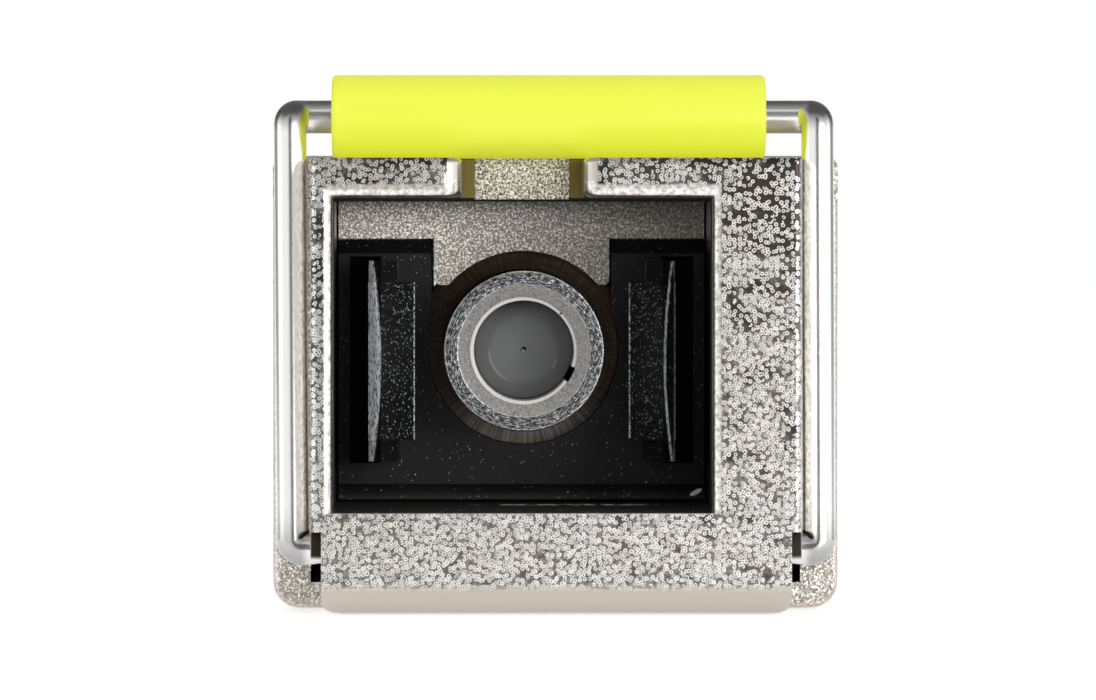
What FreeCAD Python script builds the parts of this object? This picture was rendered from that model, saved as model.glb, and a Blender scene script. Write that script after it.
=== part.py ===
import FreeCAD, Part
import math
import os
import re

import Sketcher

# Single-fibre SFP transceiver with an SC port, in millimetres.
# The front looks along -Y, +X is to its right as seen from the front, +Z is up.
# The origin is under the middle of the module, on the plane that the nose stands on.

SIZES = [
    # Nose and port
    ("nose_width", 11.8, "width of the nose above the bail pivots"),
    ("sill_width", 11.3, "width of the nose at the bail pivots"),
    ("nose_depth", 3.5, "front face to collar face"),
    ("top_wall", 0.96, "wall over the port"),
    ("thin_wall", 0.53, "wall left of the port"),
    ("port_width", 9.12, "width of the plug opening"),
    ("port_height", 7.59, "height of the plug opening"),
    ("port_floor", 2.4, "height of the port floor"),
    ("port_undercut", 0.145, "how far the pocket widens behind the lip on each side"),
    ("lip_depth", 2.0, "depth of the lip around the opening"),
    ("key_width", 2.88, "width of the key slot in the top wall"),
    ("key_notch_width", 2.34, "width of the key notch in the upper casting"),
    ("key_notch_depth", 3.0, "depth of the key notch behind the collar face"),
    ("sill_round", 0.6, "rounding under the front face"),
    ("sill_side_round", 0.35, "rounding of the lower side edges"),
    ("mouth_round", 0.22, "rounding of the opening"),
    ("key_round", 0.45, "rounding of the key slot's front edges"),
    ("nose_round", 0.16, "rounding of the nose's outer edges"),
    # Collar
    ("collar_proud", 0.14, "how far the collar reaches past the bail's arms"),
    ("cap_rise", 0.1, "how far the collar's top lies over the nose"),
    ("collar_round", 0.65, "rounding of the collar's lower edges"),
    ("cap_round", 0.3, "rounding of the collar's upper edges"),
    ("collar_wall", 1.0, "side wall of the collar behind the port"),
    ("seam_gap", 0.03, "gap between the castings"),
    ("pivot_relief_width", 0.33, "width of the relief behind a bail pivot"),
    ("pivot_relief_height", 1.18, "height of the relief behind a bail pivot"),
    ("pivot_relief_depth", 1.4, "depth of the relief behind a bail pivot"),
    ("pivot_relief_drop", 0.28, "how far the relief's middle lies under the pivot"),
    # Body that goes into the cage
    ("cage_length", 47.5, "cage stop to rear end"),
    ("body_width", 13.4, "width of the body"),
    ("body_height", 8.5, "height of the body"),
    ("body_floor", 0.9, "height of the body's underside"),
    ("body_seam", 4.7, "height of the body's seam over its underside"),
    ("body_wall", 0.7, "side walls and rear skirts"),
    ("floor_thickness", 0.8, "floor of the tray"),
    ("roof_thickness", 0.8, "roof of the body"),
    ("body_chamfer", 0.6, "chamfer along the underside"),
    ("panel_depth", 0.1, "depth of the bare recess on the roof"),
    ("panel_margin", 1.4, "border around the bare recess"),
    ("panel_start", 8.0, "cage stop to the bare recess"),
    # Moulded frame in the port
    ("frame_depth", 11.5, "front face to the frame's plate"),
    ("frame_thickness", 1.5, "thickness of the frame's plate"),
    ("frame_height", 6.6, "height of the frame's plate"),
    ("frame_gap", 0.05, "gap around the frame's plate"),
    ("arch_gap", 0.06, "gap between the arch's legs and the frame"),
    ("tube_clear", 0.43, "gap between the frame and the tube"),
    ("frame_bevel", 0.35, "bevel along the top of the plate"),
    ("foot_height", 0.38, "height of the ledge along the plate's foot"),
    ("foot_depth", 0.5, "how far that ledge stands forward"),
    ("hook_tip_depth", 6.5, "front face to the hooks' tips"),
    ("hook_edge", 0.285, "plate beside a hook's slot"),
    ("hook_reach", 0.43, "how far a hook's catch stands out from its arm"),
    ("hook_thickness", 0.72, "thickness of a hook's arm"),
    ("hook_lead", 0.9, "length of a hook's lead-in"),
    ("hook_land", 0.5, "length of a hook's catch"),
    ("hook_bevel", 0.32, "bevel on the back of a hook's tip"),
    ("hook_head_inset", 0.525, "how far a hook's head ends inside its arm"),
    ("hook_room", 0.55, "room that a hook has to spring outwards"),
    ("hook_slot_head", 0.425, "plate over a hook's slot"),
    ("hook_slot_foot", 0.915, "plate under a hook's slot"),
    ("hook_slot_gap", 0.13, "gap over and under a hook's arm"),
    # Arch plate and clamp of the upper casting
    ("arch_clear", 0.52, "gap between the arch and the tube"),
    ("arch_leg", 2.23, "half width of the arch's legs"),
    ("arch_drop", 1.18, "length of the arch's legs"),
    ("leg_round", 0.15, "rounding of the legs' lower corners"),
    ("clamp_drop", 2.6, "how far the clamp reaches down into the rib"),
    # Receptacle
    ("axis_right", 0.05, "middle of the port to the tube's axis, to the right"),
    ("axis_rise", 0.06, "middle of the port to the tube's axis, upwards"),
    ("tube_tip", 7.0, "front face to the tube's tip"),
    ("tube_wall", 0.38, "wall of the tube around the sleeve"),
    ("mouth_flare", 0.275, "how far the lead-in opens"),
    ("throat_gap", 0.125, "gap between the throat and a ferrule"),
    ("throat_draft", 0.01, "how far the throat opens to the rear"),
    ("tube_lead", 0.35, "length of the tube's lead-in"),
    ("tube_lip", 0.15, "length of the throat"),
    ("tube_round", 0.08, "bevel on the tip of the tube"),
    ("tube_tail", 0.2, "how far the tube ends before the optics block"),
    ("flange_reach", 0.8, "how far the holder's flanges stand out from the tube"),
    ("flange_thickness", 0.9, "thickness of each flange"),
    ("neck_wall", 0.25, "neck between the flanges, over the tube"),
    ("rib_thickness", 1.2, "rib that the neck sits in"),
    ("rib_gap", 0.05, "gap around the neck"),
    ("flange_gap", 0.1, "gap under the flanges"),
    ("fit_gap", 0.02, "gap in a close fit"),
    ("sleeve_bore", 1.25, "radius of the split sleeve's bore"),
    ("sleeve_wall", 0.35, "wall of the split sleeve"),
    ("sleeve_relief", 0.6, "length over which the sleeve opens to the stub"),
    ("sleeve_slit", 0.43, "width of the slit"),
    ("sleeve_slit_turn", 27.0, "degrees that the slit lies below the right"),
    ("sleeve_tail", 1.8, "sleeve end to tube end"),
    ("stub_recess", 4.6, "tube tip to the face of the stub"),
    ("stub_face", 0.86, "radius of the stub's flat face"),
    ("stub_bevel", 0.3, "length of the stub's bevel"),
    ("fibre_radius", 0.0625, "glass fibre"),
    ("fibre_gap", 0.0125, "gap around the fibre"),
    # Optics behind the port
    ("optics_radius", 2.55, "optics block"),
    ("optics_length", 7.4, "length of the optics block"),
    ("optics_gap", 0.2, "gap over the optics block"),
    ("light_bore", 1.3, "bore along the optics block"),
    ("side_bore", 1.0, "bore towards the receiver"),
    ("side_reach", 3.0, "port axis to the receiver's seat"),
    ("side_radius", 2.2, "boss that carries the receiver"),
    ("cans_gap", 0.4, "gap between the two cans"),
    ("filter_side", 1.6, "width of the filter plate"),
    ("filter_height", 2.2, "height of the filter plate"),
    ("filter_thickness", 0.25, "thickness of the filter plate"),
    ("can_radius", 2.0, "cap of the laser"),
    ("can_length", 2.0, "cap of the laser"),
    ("header_thickness", 1.1, "header of the laser"),
    ("side_can_radius", 1.8, "cap of the receiver"),
    ("side_can_length", 1.2, "cap of the receiver"),
    ("side_header_thickness", 0.9, "header of the receiver"),
    ("lens_radius", 0.75, "lenses in the caps"),
    ("lens_length", 0.6, "length of the lens rods"),
    ("lens_stand", 0.2, "how far a lens stands out of its cap"),
    ("lead_radius", 0.22, "leads of the cans"),
    ("lead_circle", 1.27, "circle that the leads stand on"),
    ("lead_length", 1.7, "free length of the leads"),
    # Board and strips
    ("board_start", 13.5, "cage stop to the front of the board"),
    ("board_end", 41.8, "latch shoulder to the end of the board"),
    ("board_lift", 2.25, "underside of the body to underside of the board"),
    ("board_thickness", 1.0, "board"),
    ("board_side_gap", 0.5, "gap between the board and the side walls"),
    ("tongue_width", 9.2, "tongue that plugs into the host"),
    ("tongue_length", 7.8, "tongue that plugs into the host"),
    ("tongue_bevel", 0.25, "bevel on the end of the tongue"),
    ("rear_opening", 34.6, "latch shoulder to the opening under the tongue"),
    ("rail_width", 0.8, "rails that the board lies on"),
    ("clamp_length", 2.0, "ribs of the roof that hold the board down"),
    ("pad_pitch", 0.8, "pitch of the contact pads"),
    ("pad_width", 0.6, "width of a contact pad"),
    ("pad_length", 2.6, "length of a contact pad"),
    ("pad_thickness", 0.04, "thickness of a contact pad"),
    ("pad_inset", 0.5, "end of the tongue to the pads"),
    ("strip_thickness", 0.12, "flexible strips"),
    ("strip_stand", 0.6, "header to strip"),
    ("strip_width", 4.4, "width of a strip's head"),
    ("strip_foot", 2.5, "length that a strip lies on the board"),
    ("strip_round", 0.5, "bend of the laser's strip"),
    ("side_strip_tail", 1.4, "height of the receiver strip's tail"),
    ("side_strip_foot", 1.6, "width of the receiver strip's foot"),
    ("chip_side", 4.0, "driver chip"),
    ("chip_height", 0.85, "driver chip"),
    ("chip_place", 10.0, "front of the board to the driver chip"),
    ("pad_stack", 1.0, "thickness of the thermal pad"),
    ("controller_side", 3.0, "controller chip"),
    ("controller_height", 0.75, "controller chip"),
    ("controller_place", 17.5, "front of the board to the controller chip"),
    ("memory_length", 2.0, "memory chip"),
    ("memory_width", 1.4, "memory chip"),
    ("memory_height", 0.6, "memory chip"),
    ("small_length", 1.0, "chip capacitors and resistors"),
    ("small_width", 0.5, "chip capacitors and resistors"),
    ("capacitor_height", 0.5, "chip capacitors"),
    ("resistor_height", 0.35, "chip resistors"),
    ("small_pitch", 1.3, "pitch of the chip rows"),
    ("coil_length", 1.6, "supply inductors"),
    ("coil_width", 0.9, "supply inductors"),
    ("coil_height", 0.9, "supply inductors"),
    # Screws
    ("screw_place", 28.0, "cage stop to the screws"),
    ("screw_inset", 1.95, "side of the body to a screw's axis"),
    ("screw_radius", 0.7, "shank"),
    ("screw_head", 1.25, "countersunk head"),
    ("screw_length", 6.2, "length with the head"),
    ("screw_socket", 0.45, "drive socket"),
    ("screw_socket_depth", 0.5, "drive socket"),
    ("post_radius", 1.3, "posts for the screws"),
    ("notch_gap", 0.15, "gap between the posts and the board"),
    # Bail
    ("wire_radius", 0.4, "bail wire"),
    ("wire_bend", 0.42, "bends of the bail wire, at its middle"),
    ("bail_side_gap", 0.06, "gap between the bail's arms and the nose"),
    ("bail_lean", 8.0, "degrees that the bail leans back at rest"),
    ("bail_pivot_depth", 1.5, "front face to the bail's pivot"),
    ("bail_pivot_height", 1.5, "height of the bail's pivot"),
    ("pivot_gap", 0.03, "gap around the bail's pivots"),
    ("pivot_reach", 1.1, "how far a pivot reaches into the nose"),
    ("cam_flat", 0.2, "pivot axis to the cam flat"),
    ("sleeve_radius", 1.015, "yellow sleeve"),
    ("sleeve_length", 10.55, "yellow sleeve"),
    ("sleeve_offset", 0.17, "how far the sleeve has slid to the left"),
    ("sleeve_rest", 0.02, "gap between the sleeve and the nose"),
    ("sleeve_end_round", 0.15, "rounding of the sleeve's ends"),
    # Latch
    ("sill_lip", 1.0, "front face to the latch cavity"),
    ("floor_skin", 0.4, "wall between the latch cavity and the port"),
    ("lever_width", 4.0, "arm of the rocker"),
    ("lever_side_gap", 0.2, "gap beside the rocker"),
    ("lever_bar_depth", 1.5, "bar at the front of the rocker"),
    ("lever_bar_gap", 0.15, "gap around that bar"),
    ("lever_lift_gap", 0.12, "gap between the cam flat and the bar"),
    ("lever_thickness", 0.55, "sheet of the rocker"),
    ("lever_hub", 0.5, "height of the hub over the pin's middle"),
    ("lever_rear_floor", 0.05, "how far the rocker's rear lies inside the underside"),
    ("lever_tail", 0.9, "rocker behind the boss"),
    ("lever_travel", 0.85, "room over the rocker's rear"),
    ("latch_pin_depth", 6.0, "front face to the rocker's pin"),
    ("latch_pin_height", 1.3, "height of the rocker's pin"),
    ("latch_pin_radius", 0.3, "rocker's pin"),
    ("latch_pin_seat", 1.0, "how far the pin goes into the far wall"),
    ("latch_pin_inset", 0.3, "how far the pin lies inside the collar's side"),
    ("shoulder_reach", 2.5, "cage stop to the latch shoulder"),
    ("boss_length", 2.6, "latch boss"),
    ("boss_width", 2.6, "latch boss"),
    ("boss_height", 0.5, "latch boss"),
    ("boss_land", 0.8, "flat of the latch boss"),
    ("spring_inset", 1.3, "cage stop to the spring's axis"),
    ("spring_radius", 0.7, "spring, at the middle of its wire"),
    ("spring_wire", 0.11, "radius of the spring's wire"),
    ("spring_turns", 4.0, "turns of the spring"),
    ("spring_room", 0.2, "gap around the spring"),
    ("spring_skin", 0.3, "wall over the spring"),
    # Cuts
    ("overcut", 1.0, "how far a cut runs past the face that it opens"),
]

# Planes and axes worked out from the sizes above.
# A depth is counted from the front face to the rear.
FRAME_REAR = "(frame_depth + frame_thickness)"
RIB_FRONT = f"({FRAME_REAR} + flange_thickness)"
RIB_REAR = f"({RIB_FRONT} + rib_thickness)"
STOP = f"({RIB_REAR} + flange_thickness)"
SHOULDER = f"({STOP} + shoulder_reach)"
TOTAL = f"({STOP} + cage_length)"
FRONT = f"(-{TOTAL} / 2)"
REAR = f"({TOTAL} / 2)"

PORT_X = "(-nose_width / 2 + thin_wall + port_width / 2)"
PORT_TOP = "(port_floor + port_height)"
PORT_Z = "(port_floor + port_height / 2)"
AXIS_X = f"({PORT_X} + axis_right)"
AXIS_Z = f"({PORT_Z} + axis_rise)"
NOSE_TOP = f"({PORT_TOP} + top_wall)"
CAP_TOP = f"({NOSE_TOP} + cap_rise)"
POCKET_HALF = "(port_width / 2 + port_undercut)"
PLATE_HALF = f"({POCKET_HALF} - frame_gap)"
HOOK_OUT = f"({PLATE_HALF} - hook_edge - hook_room)"
HOOK_IN = f"({HOOK_OUT} - hook_thickness)"
HOOK_CATCH = f"({HOOK_IN} - hook_reach)"

SLEEVE_OUT = "(sleeve_bore + sleeve_wall)"
TUBE_OUT = f"({SLEEVE_OUT} + fit_gap + tube_wall)"
THROAT = "(sleeve_bore + throat_gap)"
MOUTH = f"({THROAT} + mouth_flare)"
NECK_OUT = f"({TUBE_OUT} + neck_wall)"
FLANGE_OUT = f"({TUBE_OUT} + flange_reach)"
RAISED_FLOOR = f"({PORT_Z} - {FLANGE_OUT} - flange_gap)"

BODY_TOP = "(body_floor + body_height)"
BODY_SEAM = "(body_floor + body_seam)"
ROOF_UNDER = f"({BODY_TOP} - roof_thickness)"
FLOOR_TOP = "(body_floor + floor_thickness)"
INNER_X = "(body_width / 2 - body_wall)"

BOARD_UNDER = "(body_floor + board_lift)"
BOARD_TOP = f"({BOARD_UNDER} + board_thickness)"
BOARD_HALF = f"({INNER_X} - board_side_gap)"
BOARD_FRONT = f"({STOP} + board_start)"
BOARD_END = f"({SHOULDER} + board_end)"
TONGUE_START = f"({BOARD_END} - tongue_length)"
CHIP_TOP = f"({BOARD_TOP} + chip_height)"
SCREW_DEPTH = f"({STOP} + screw_place)"
SCREW_OFFSET = "(body_width / 2 - screw_inset)"
SCREW_X = {"left": f"(-{SCREW_OFFSET})", "right": SCREW_OFFSET}

TUBE_END = f"({STOP} - tube_tail)"
SLEEVE_FRONT = "(tube_tip + tube_lead + tube_lip + fit_gap)"
SLEEVE_REAR = f"({TUBE_END} - sleeve_tail)"
STUB_FRONT = "(tube_tip + stub_recess)"
OPTICS_REAR = f"({STOP} + optics_length)"
HEADER_REAR = f"({OPTICS_REAR} + header_thickness)"
SIDE_DEPTH = f"({OPTICS_REAR} - can_length - cans_gap - side_can_radius)"
SIDE_SEAT = f"({PORT_X} + side_reach)"
SIDE_REAR = f"({SIDE_SEAT} + side_header_thickness)"
STRIP_DEPTH = f"({HEADER_REAR} + strip_stand)"
SIDE_STRIP = f"({SIDE_REAR} + strip_stand)"

ARM_X = "(nose_width / 2 + bail_side_gap + wire_radius)"
COLLAR_HALF = f"({ARM_X} + wire_radius + collar_proud)"
BAR_Z = f"({NOSE_TOP} + sleeve_rest + sleeve_radius)"
BAIL_RISE = f"({BAR_Z} - bail_pivot_height)"
BAIL_REACH = f"({BAIL_RISE} / cos(bail_lean))"
BAIL_DEPTH = f"(bail_pivot_depth + {BAIL_RISE} * tan(bail_lean))"
SILL_TOP = "(bail_pivot_height + wire_radius + bail_side_gap)"
PIVOT_END = "(sill_width / 2 - pivot_reach)"
CAVITY_TOP = "(port_floor - floor_skin)"
CAVITY_HALF = "(sill_width / 2 - floor_skin)"
CHANNEL_HALF = "(lever_width / 2 + lever_side_gap)"
BAR_FRONT = "(sill_lip + lever_bar_gap)"
BAR_REAR = f"({BAR_FRONT} + lever_bar_depth)"
BAR_TOP = "(bail_pivot_height - cam_flat - lever_lift_gap)"
BAR_UNDER = f"({BAR_TOP} - lever_thickness)"
LEVER_UNDER = "(body_floor + lever_rear_floor)"
LEVER_TOP = f"({LEVER_UNDER} + lever_thickness)"
LEVER_END = f"({SHOULDER} + boss_length + lever_tail)"
REAR_CEILING = f"({LEVER_TOP} + lever_travel)"
SPRING_DEPTH = f"({STOP} - spring_inset)"
SPRING_TOP = f"({RAISED_FLOOR} - spring_skin)"

SIDES = ("left", "right")
DOWN_Y = FreeCAD.Rotation(FreeCAD.Vector(1, 0, 0), -90)
DOWN_X = FreeCAD.Rotation(FreeCAD.Vector(0, 1, 0), 90)
UPRIGHT = FreeCAD.Rotation()

doc = FreeCAD.newDocument("sfp_transceiver")


def make_sheet():
    """Write the driving sizes into a spreadsheet, one alias to a row."""
    table = doc.addObject("Spreadsheet::Sheet", "Sizes")
    for row, (alias, size, meaning) in enumerate(SIZES, start=1):
        table.set(f"A{row}", meaning)
        table.set(f"B{row}", str(size))
        table.setAlias(f"B{row}", alias)
    doc.recompute()
    return table


sheet = make_sheet()
ALIASES = re.compile(r"\b(" + "|".join(alias for alias, _, _ in SIZES) + r")\b")


def bind(thing, field, text):
    """Bind one property to an expression whose words are aliases of the sheet."""
    thing.setExpression(field, ALIASES.sub(r"Sizes.\1", str(text)))


def place(thing, x, y, z, turn=UPRIGHT):
    """Turn an object and bind its position to the sheet."""
    thing.Placement = FreeCAD.Placement(FreeCAD.Vector(), turn)
    bind(thing, "Placement.Base.x", x)
    bind(thing, "Placement.Base.y", y)
    bind(thing, "Placement.Base.z", z)
    return thing


def at(depth):
    """Y of a depth behind the front face."""
    return f"({FRONT} + ({depth}))"


def span(limits):
    """Distance between two limits."""
    return f"(({limits[1]}) - ({limits[0]}))"


def both(half, middle="0"):
    """Two limits at the same distance from a middle."""
    return f"({middle} - {half})", f"({middle} + {half})"


def beside(side, near_edge, far_edge, middle="0"):
    """Two limits on the left or the right of a middle."""
    if side == "left":
        return f"({middle} - {far_edge})", f"({middle} - {near_edge})"
    return f"({middle} + {near_edge})", f"({middle} + {far_edge})"


def past(front, rear):
    """Two limits of a cut that runs past both faces that it opens."""
    return f"({front} - overcut)", f"({rear} + overcut)"


def block(name, x, y, z):
    """Box between two limits on each axis."""
    box = doc.addObject("Part::Box", name)
    bind(box, "Length", span(x))
    bind(box, "Width", span(y))
    bind(box, "Height", span(z))
    return place(box, x[0], y[0], z[0])


def deep_block(name, x, depths, z):
    """Box whose limits along Y are depths behind the front face."""
    return block(name, x, (at(depths[0]), at(depths[1])), z)


def rod(name, radius, length, x, y, z, turn):
    """Cylinder that starts at a point and runs along X, Y or Z."""
    cylinder = doc.addObject("Part::Cylinder", name)
    bind(cylinder, "Radius", radius)
    bind(cylinder, "Height", length)
    return place(cylinder, x, y, z, turn)


def deep_rod(name, radius, depths, x=AXIS_X, z=AXIS_Z):
    """Cylinder along Y between two depths."""
    return rod(name, radius, span(depths), x, at(depths[0]), z, DOWN_Y)


def cross_rod(name, radius, x, depth, z):
    """Cylinder along X between two limits."""
    return rod(name, radius, span(x), x[0], at(depth), z, DOWN_X)


def upright_rod(name, radius, x, depth, z):
    """Cylinder along Z between two limits."""
    return rod(name, radius, span(z), x, at(depth), z[0], UPRIGHT)


def fuse(name, *pieces):
    """One solid from several that touch or overlap."""
    joined = doc.addObject("Part::MultiFuse", name)
    joined.Shapes = list(pieces)
    joined.Refine = True
    return joined


def group(name, *pieces):
    """Several solids that stay apart in one node."""
    together = doc.addObject("Part::Compound", name)
    together.Links = list(pieces)
    return together


def cut(name, base, *tools):
    """A solid with others taken away from it."""
    rest = doc.addObject("Part::Cut", name)
    rest.Base = base
    rest.Tool = tools[0] if len(tools) == 1 else fuse(name + "_tools", *tools)
    rest.Refine = True
    return rest


def size(alias):
    """Number in the cell of an alias."""
    return float(sheet.get(alias))


def worked_out(text):
    """Number that an expression of aliases comes to."""
    return float(sheet.evalExpression(text))


def along(edge, axis):
    """Whether an edge is straight and runs along the X, Y or Z axis."""
    if not isinstance(edge.Curve, (Part.Line, Part.LineSegment)):
        return False
    run = edge.Vertexes[-1].Point - edge.Vertexes[0].Point
    others = [abs(part) for part, letter in zip(run, "xyz") if letter != axis]
    return max(others) < 1e-6


def near(edge, **limits):
    """Whether the middle of an edge has the given coordinates."""
    middle = edge.CenterOfMass
    return all(abs(getattr(middle, letter) - value) < 1e-4 for letter, value in limits.items())


def round_edges(name, base, *choices):
    """Round the edges that each choice picks, by the radius that goes with it."""
    doc.recompute()
    rounds = []
    for radius, picks in choices:
        for number, edge in enumerate(base.Shape.Edges, start=1):
            if picks(edge):
                rounds.append((number, radius, radius))
    fillet = doc.addObject("Part::Fillet", name)
    fillet.Base = base
    fillet.Edges = rounds
    return fillet


def bevel_edges(name, base, alias, picks):
    """Bevel the edges that a test picks, by the size that it names."""
    doc.recompute()
    chamfer = doc.addObject("Part::Chamfer", name)
    chamfer.Base = base
    numbered = enumerate(base.Shape.Edges, start=1)
    chamfer.Edges = [(number, size(alias), size(alias)) for number, edge in numbered if picks(edge)]
    return chamfer


def origin_plane(body, role):
    """One of a body's own origin planes."""
    return next(plane for plane in body.Origin.OriginFeatures if plane.Role == role)


def outline(body, name, role, points, offset="0"):
    """Closed outline on an origin plane, with each corner bound to the sheet."""
    sketch = body.newObject("Sketcher::SketchObject", name)
    sketch.AttachmentSupport = [(origin_plane(body, role), "")]
    sketch.MapMode = "FlatFace"
    bind(sketch, "AttachmentOffset.Base.z", offset)
    count = len(points)
    turns = [2 * math.pi * corner / count for corner in range(count)]
    starts = [FreeCAD.Vector(math.cos(turn), math.sin(turn), 0) for turn in turns]
    for corner in range(count):
        sketch.addGeometry(Part.LineSegment(starts[corner], starts[(corner + 1) % count]), False)
    for corner in range(count):
        sketch.addConstraint(Sketcher.Constraint("Coincident", corner, 2, (corner + 1) % count, 1))
    for corner, point in enumerate(points):
        for kind, value in zip(("DistanceX", "DistanceY"), point):
            number = sketch.addConstraint(Sketcher.Constraint(kind, -1, 1, corner, 1, 0.0))
            bind(sketch, f"Constraints[{number}]", value)
    return sketch


def turned(name, points, x, y, z, turn):
    """Solid of revolution from corners of radius and distance along its axis."""
    body = doc.addObject("PartDesign::Body", name)
    profile = outline(body, name + "_profile", "XZ_Plane", points)
    revolution = body.newObject("PartDesign::Revolution", name + "_turned")
    revolution.Profile = profile
    revolution.ReferenceAxis = (profile, ["V_Axis"])
    revolution.Angle = 360
    return place(body, x, y, z, turn)


def deep_turned(name, points, x=AXIS_X, z=AXIS_Z):
    """Solid of revolution about the port axis, from radii and depths."""
    return turned(name, points, x, FRONT, z, DOWN_Y)


def padded(name, role, points, offset, length):
    """Outline on an origin plane, padded along that plane's normal."""
    body = doc.addObject("PartDesign::Body", name)
    profile = outline(body, name + "_profile", role, points, offset)
    pad = body.newObject("PartDesign::Pad", name + "_pad")
    pad.Profile = profile
    bind(pad, "Length", length)
    return body


def side_padded(name, points, x):
    """Outline of depths and heights, padded between two limits along X."""
    placed = [(at(depth), height) for depth, height in points]
    return padded(name, "YZ_Plane", placed, x[0], span(x))


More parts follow.
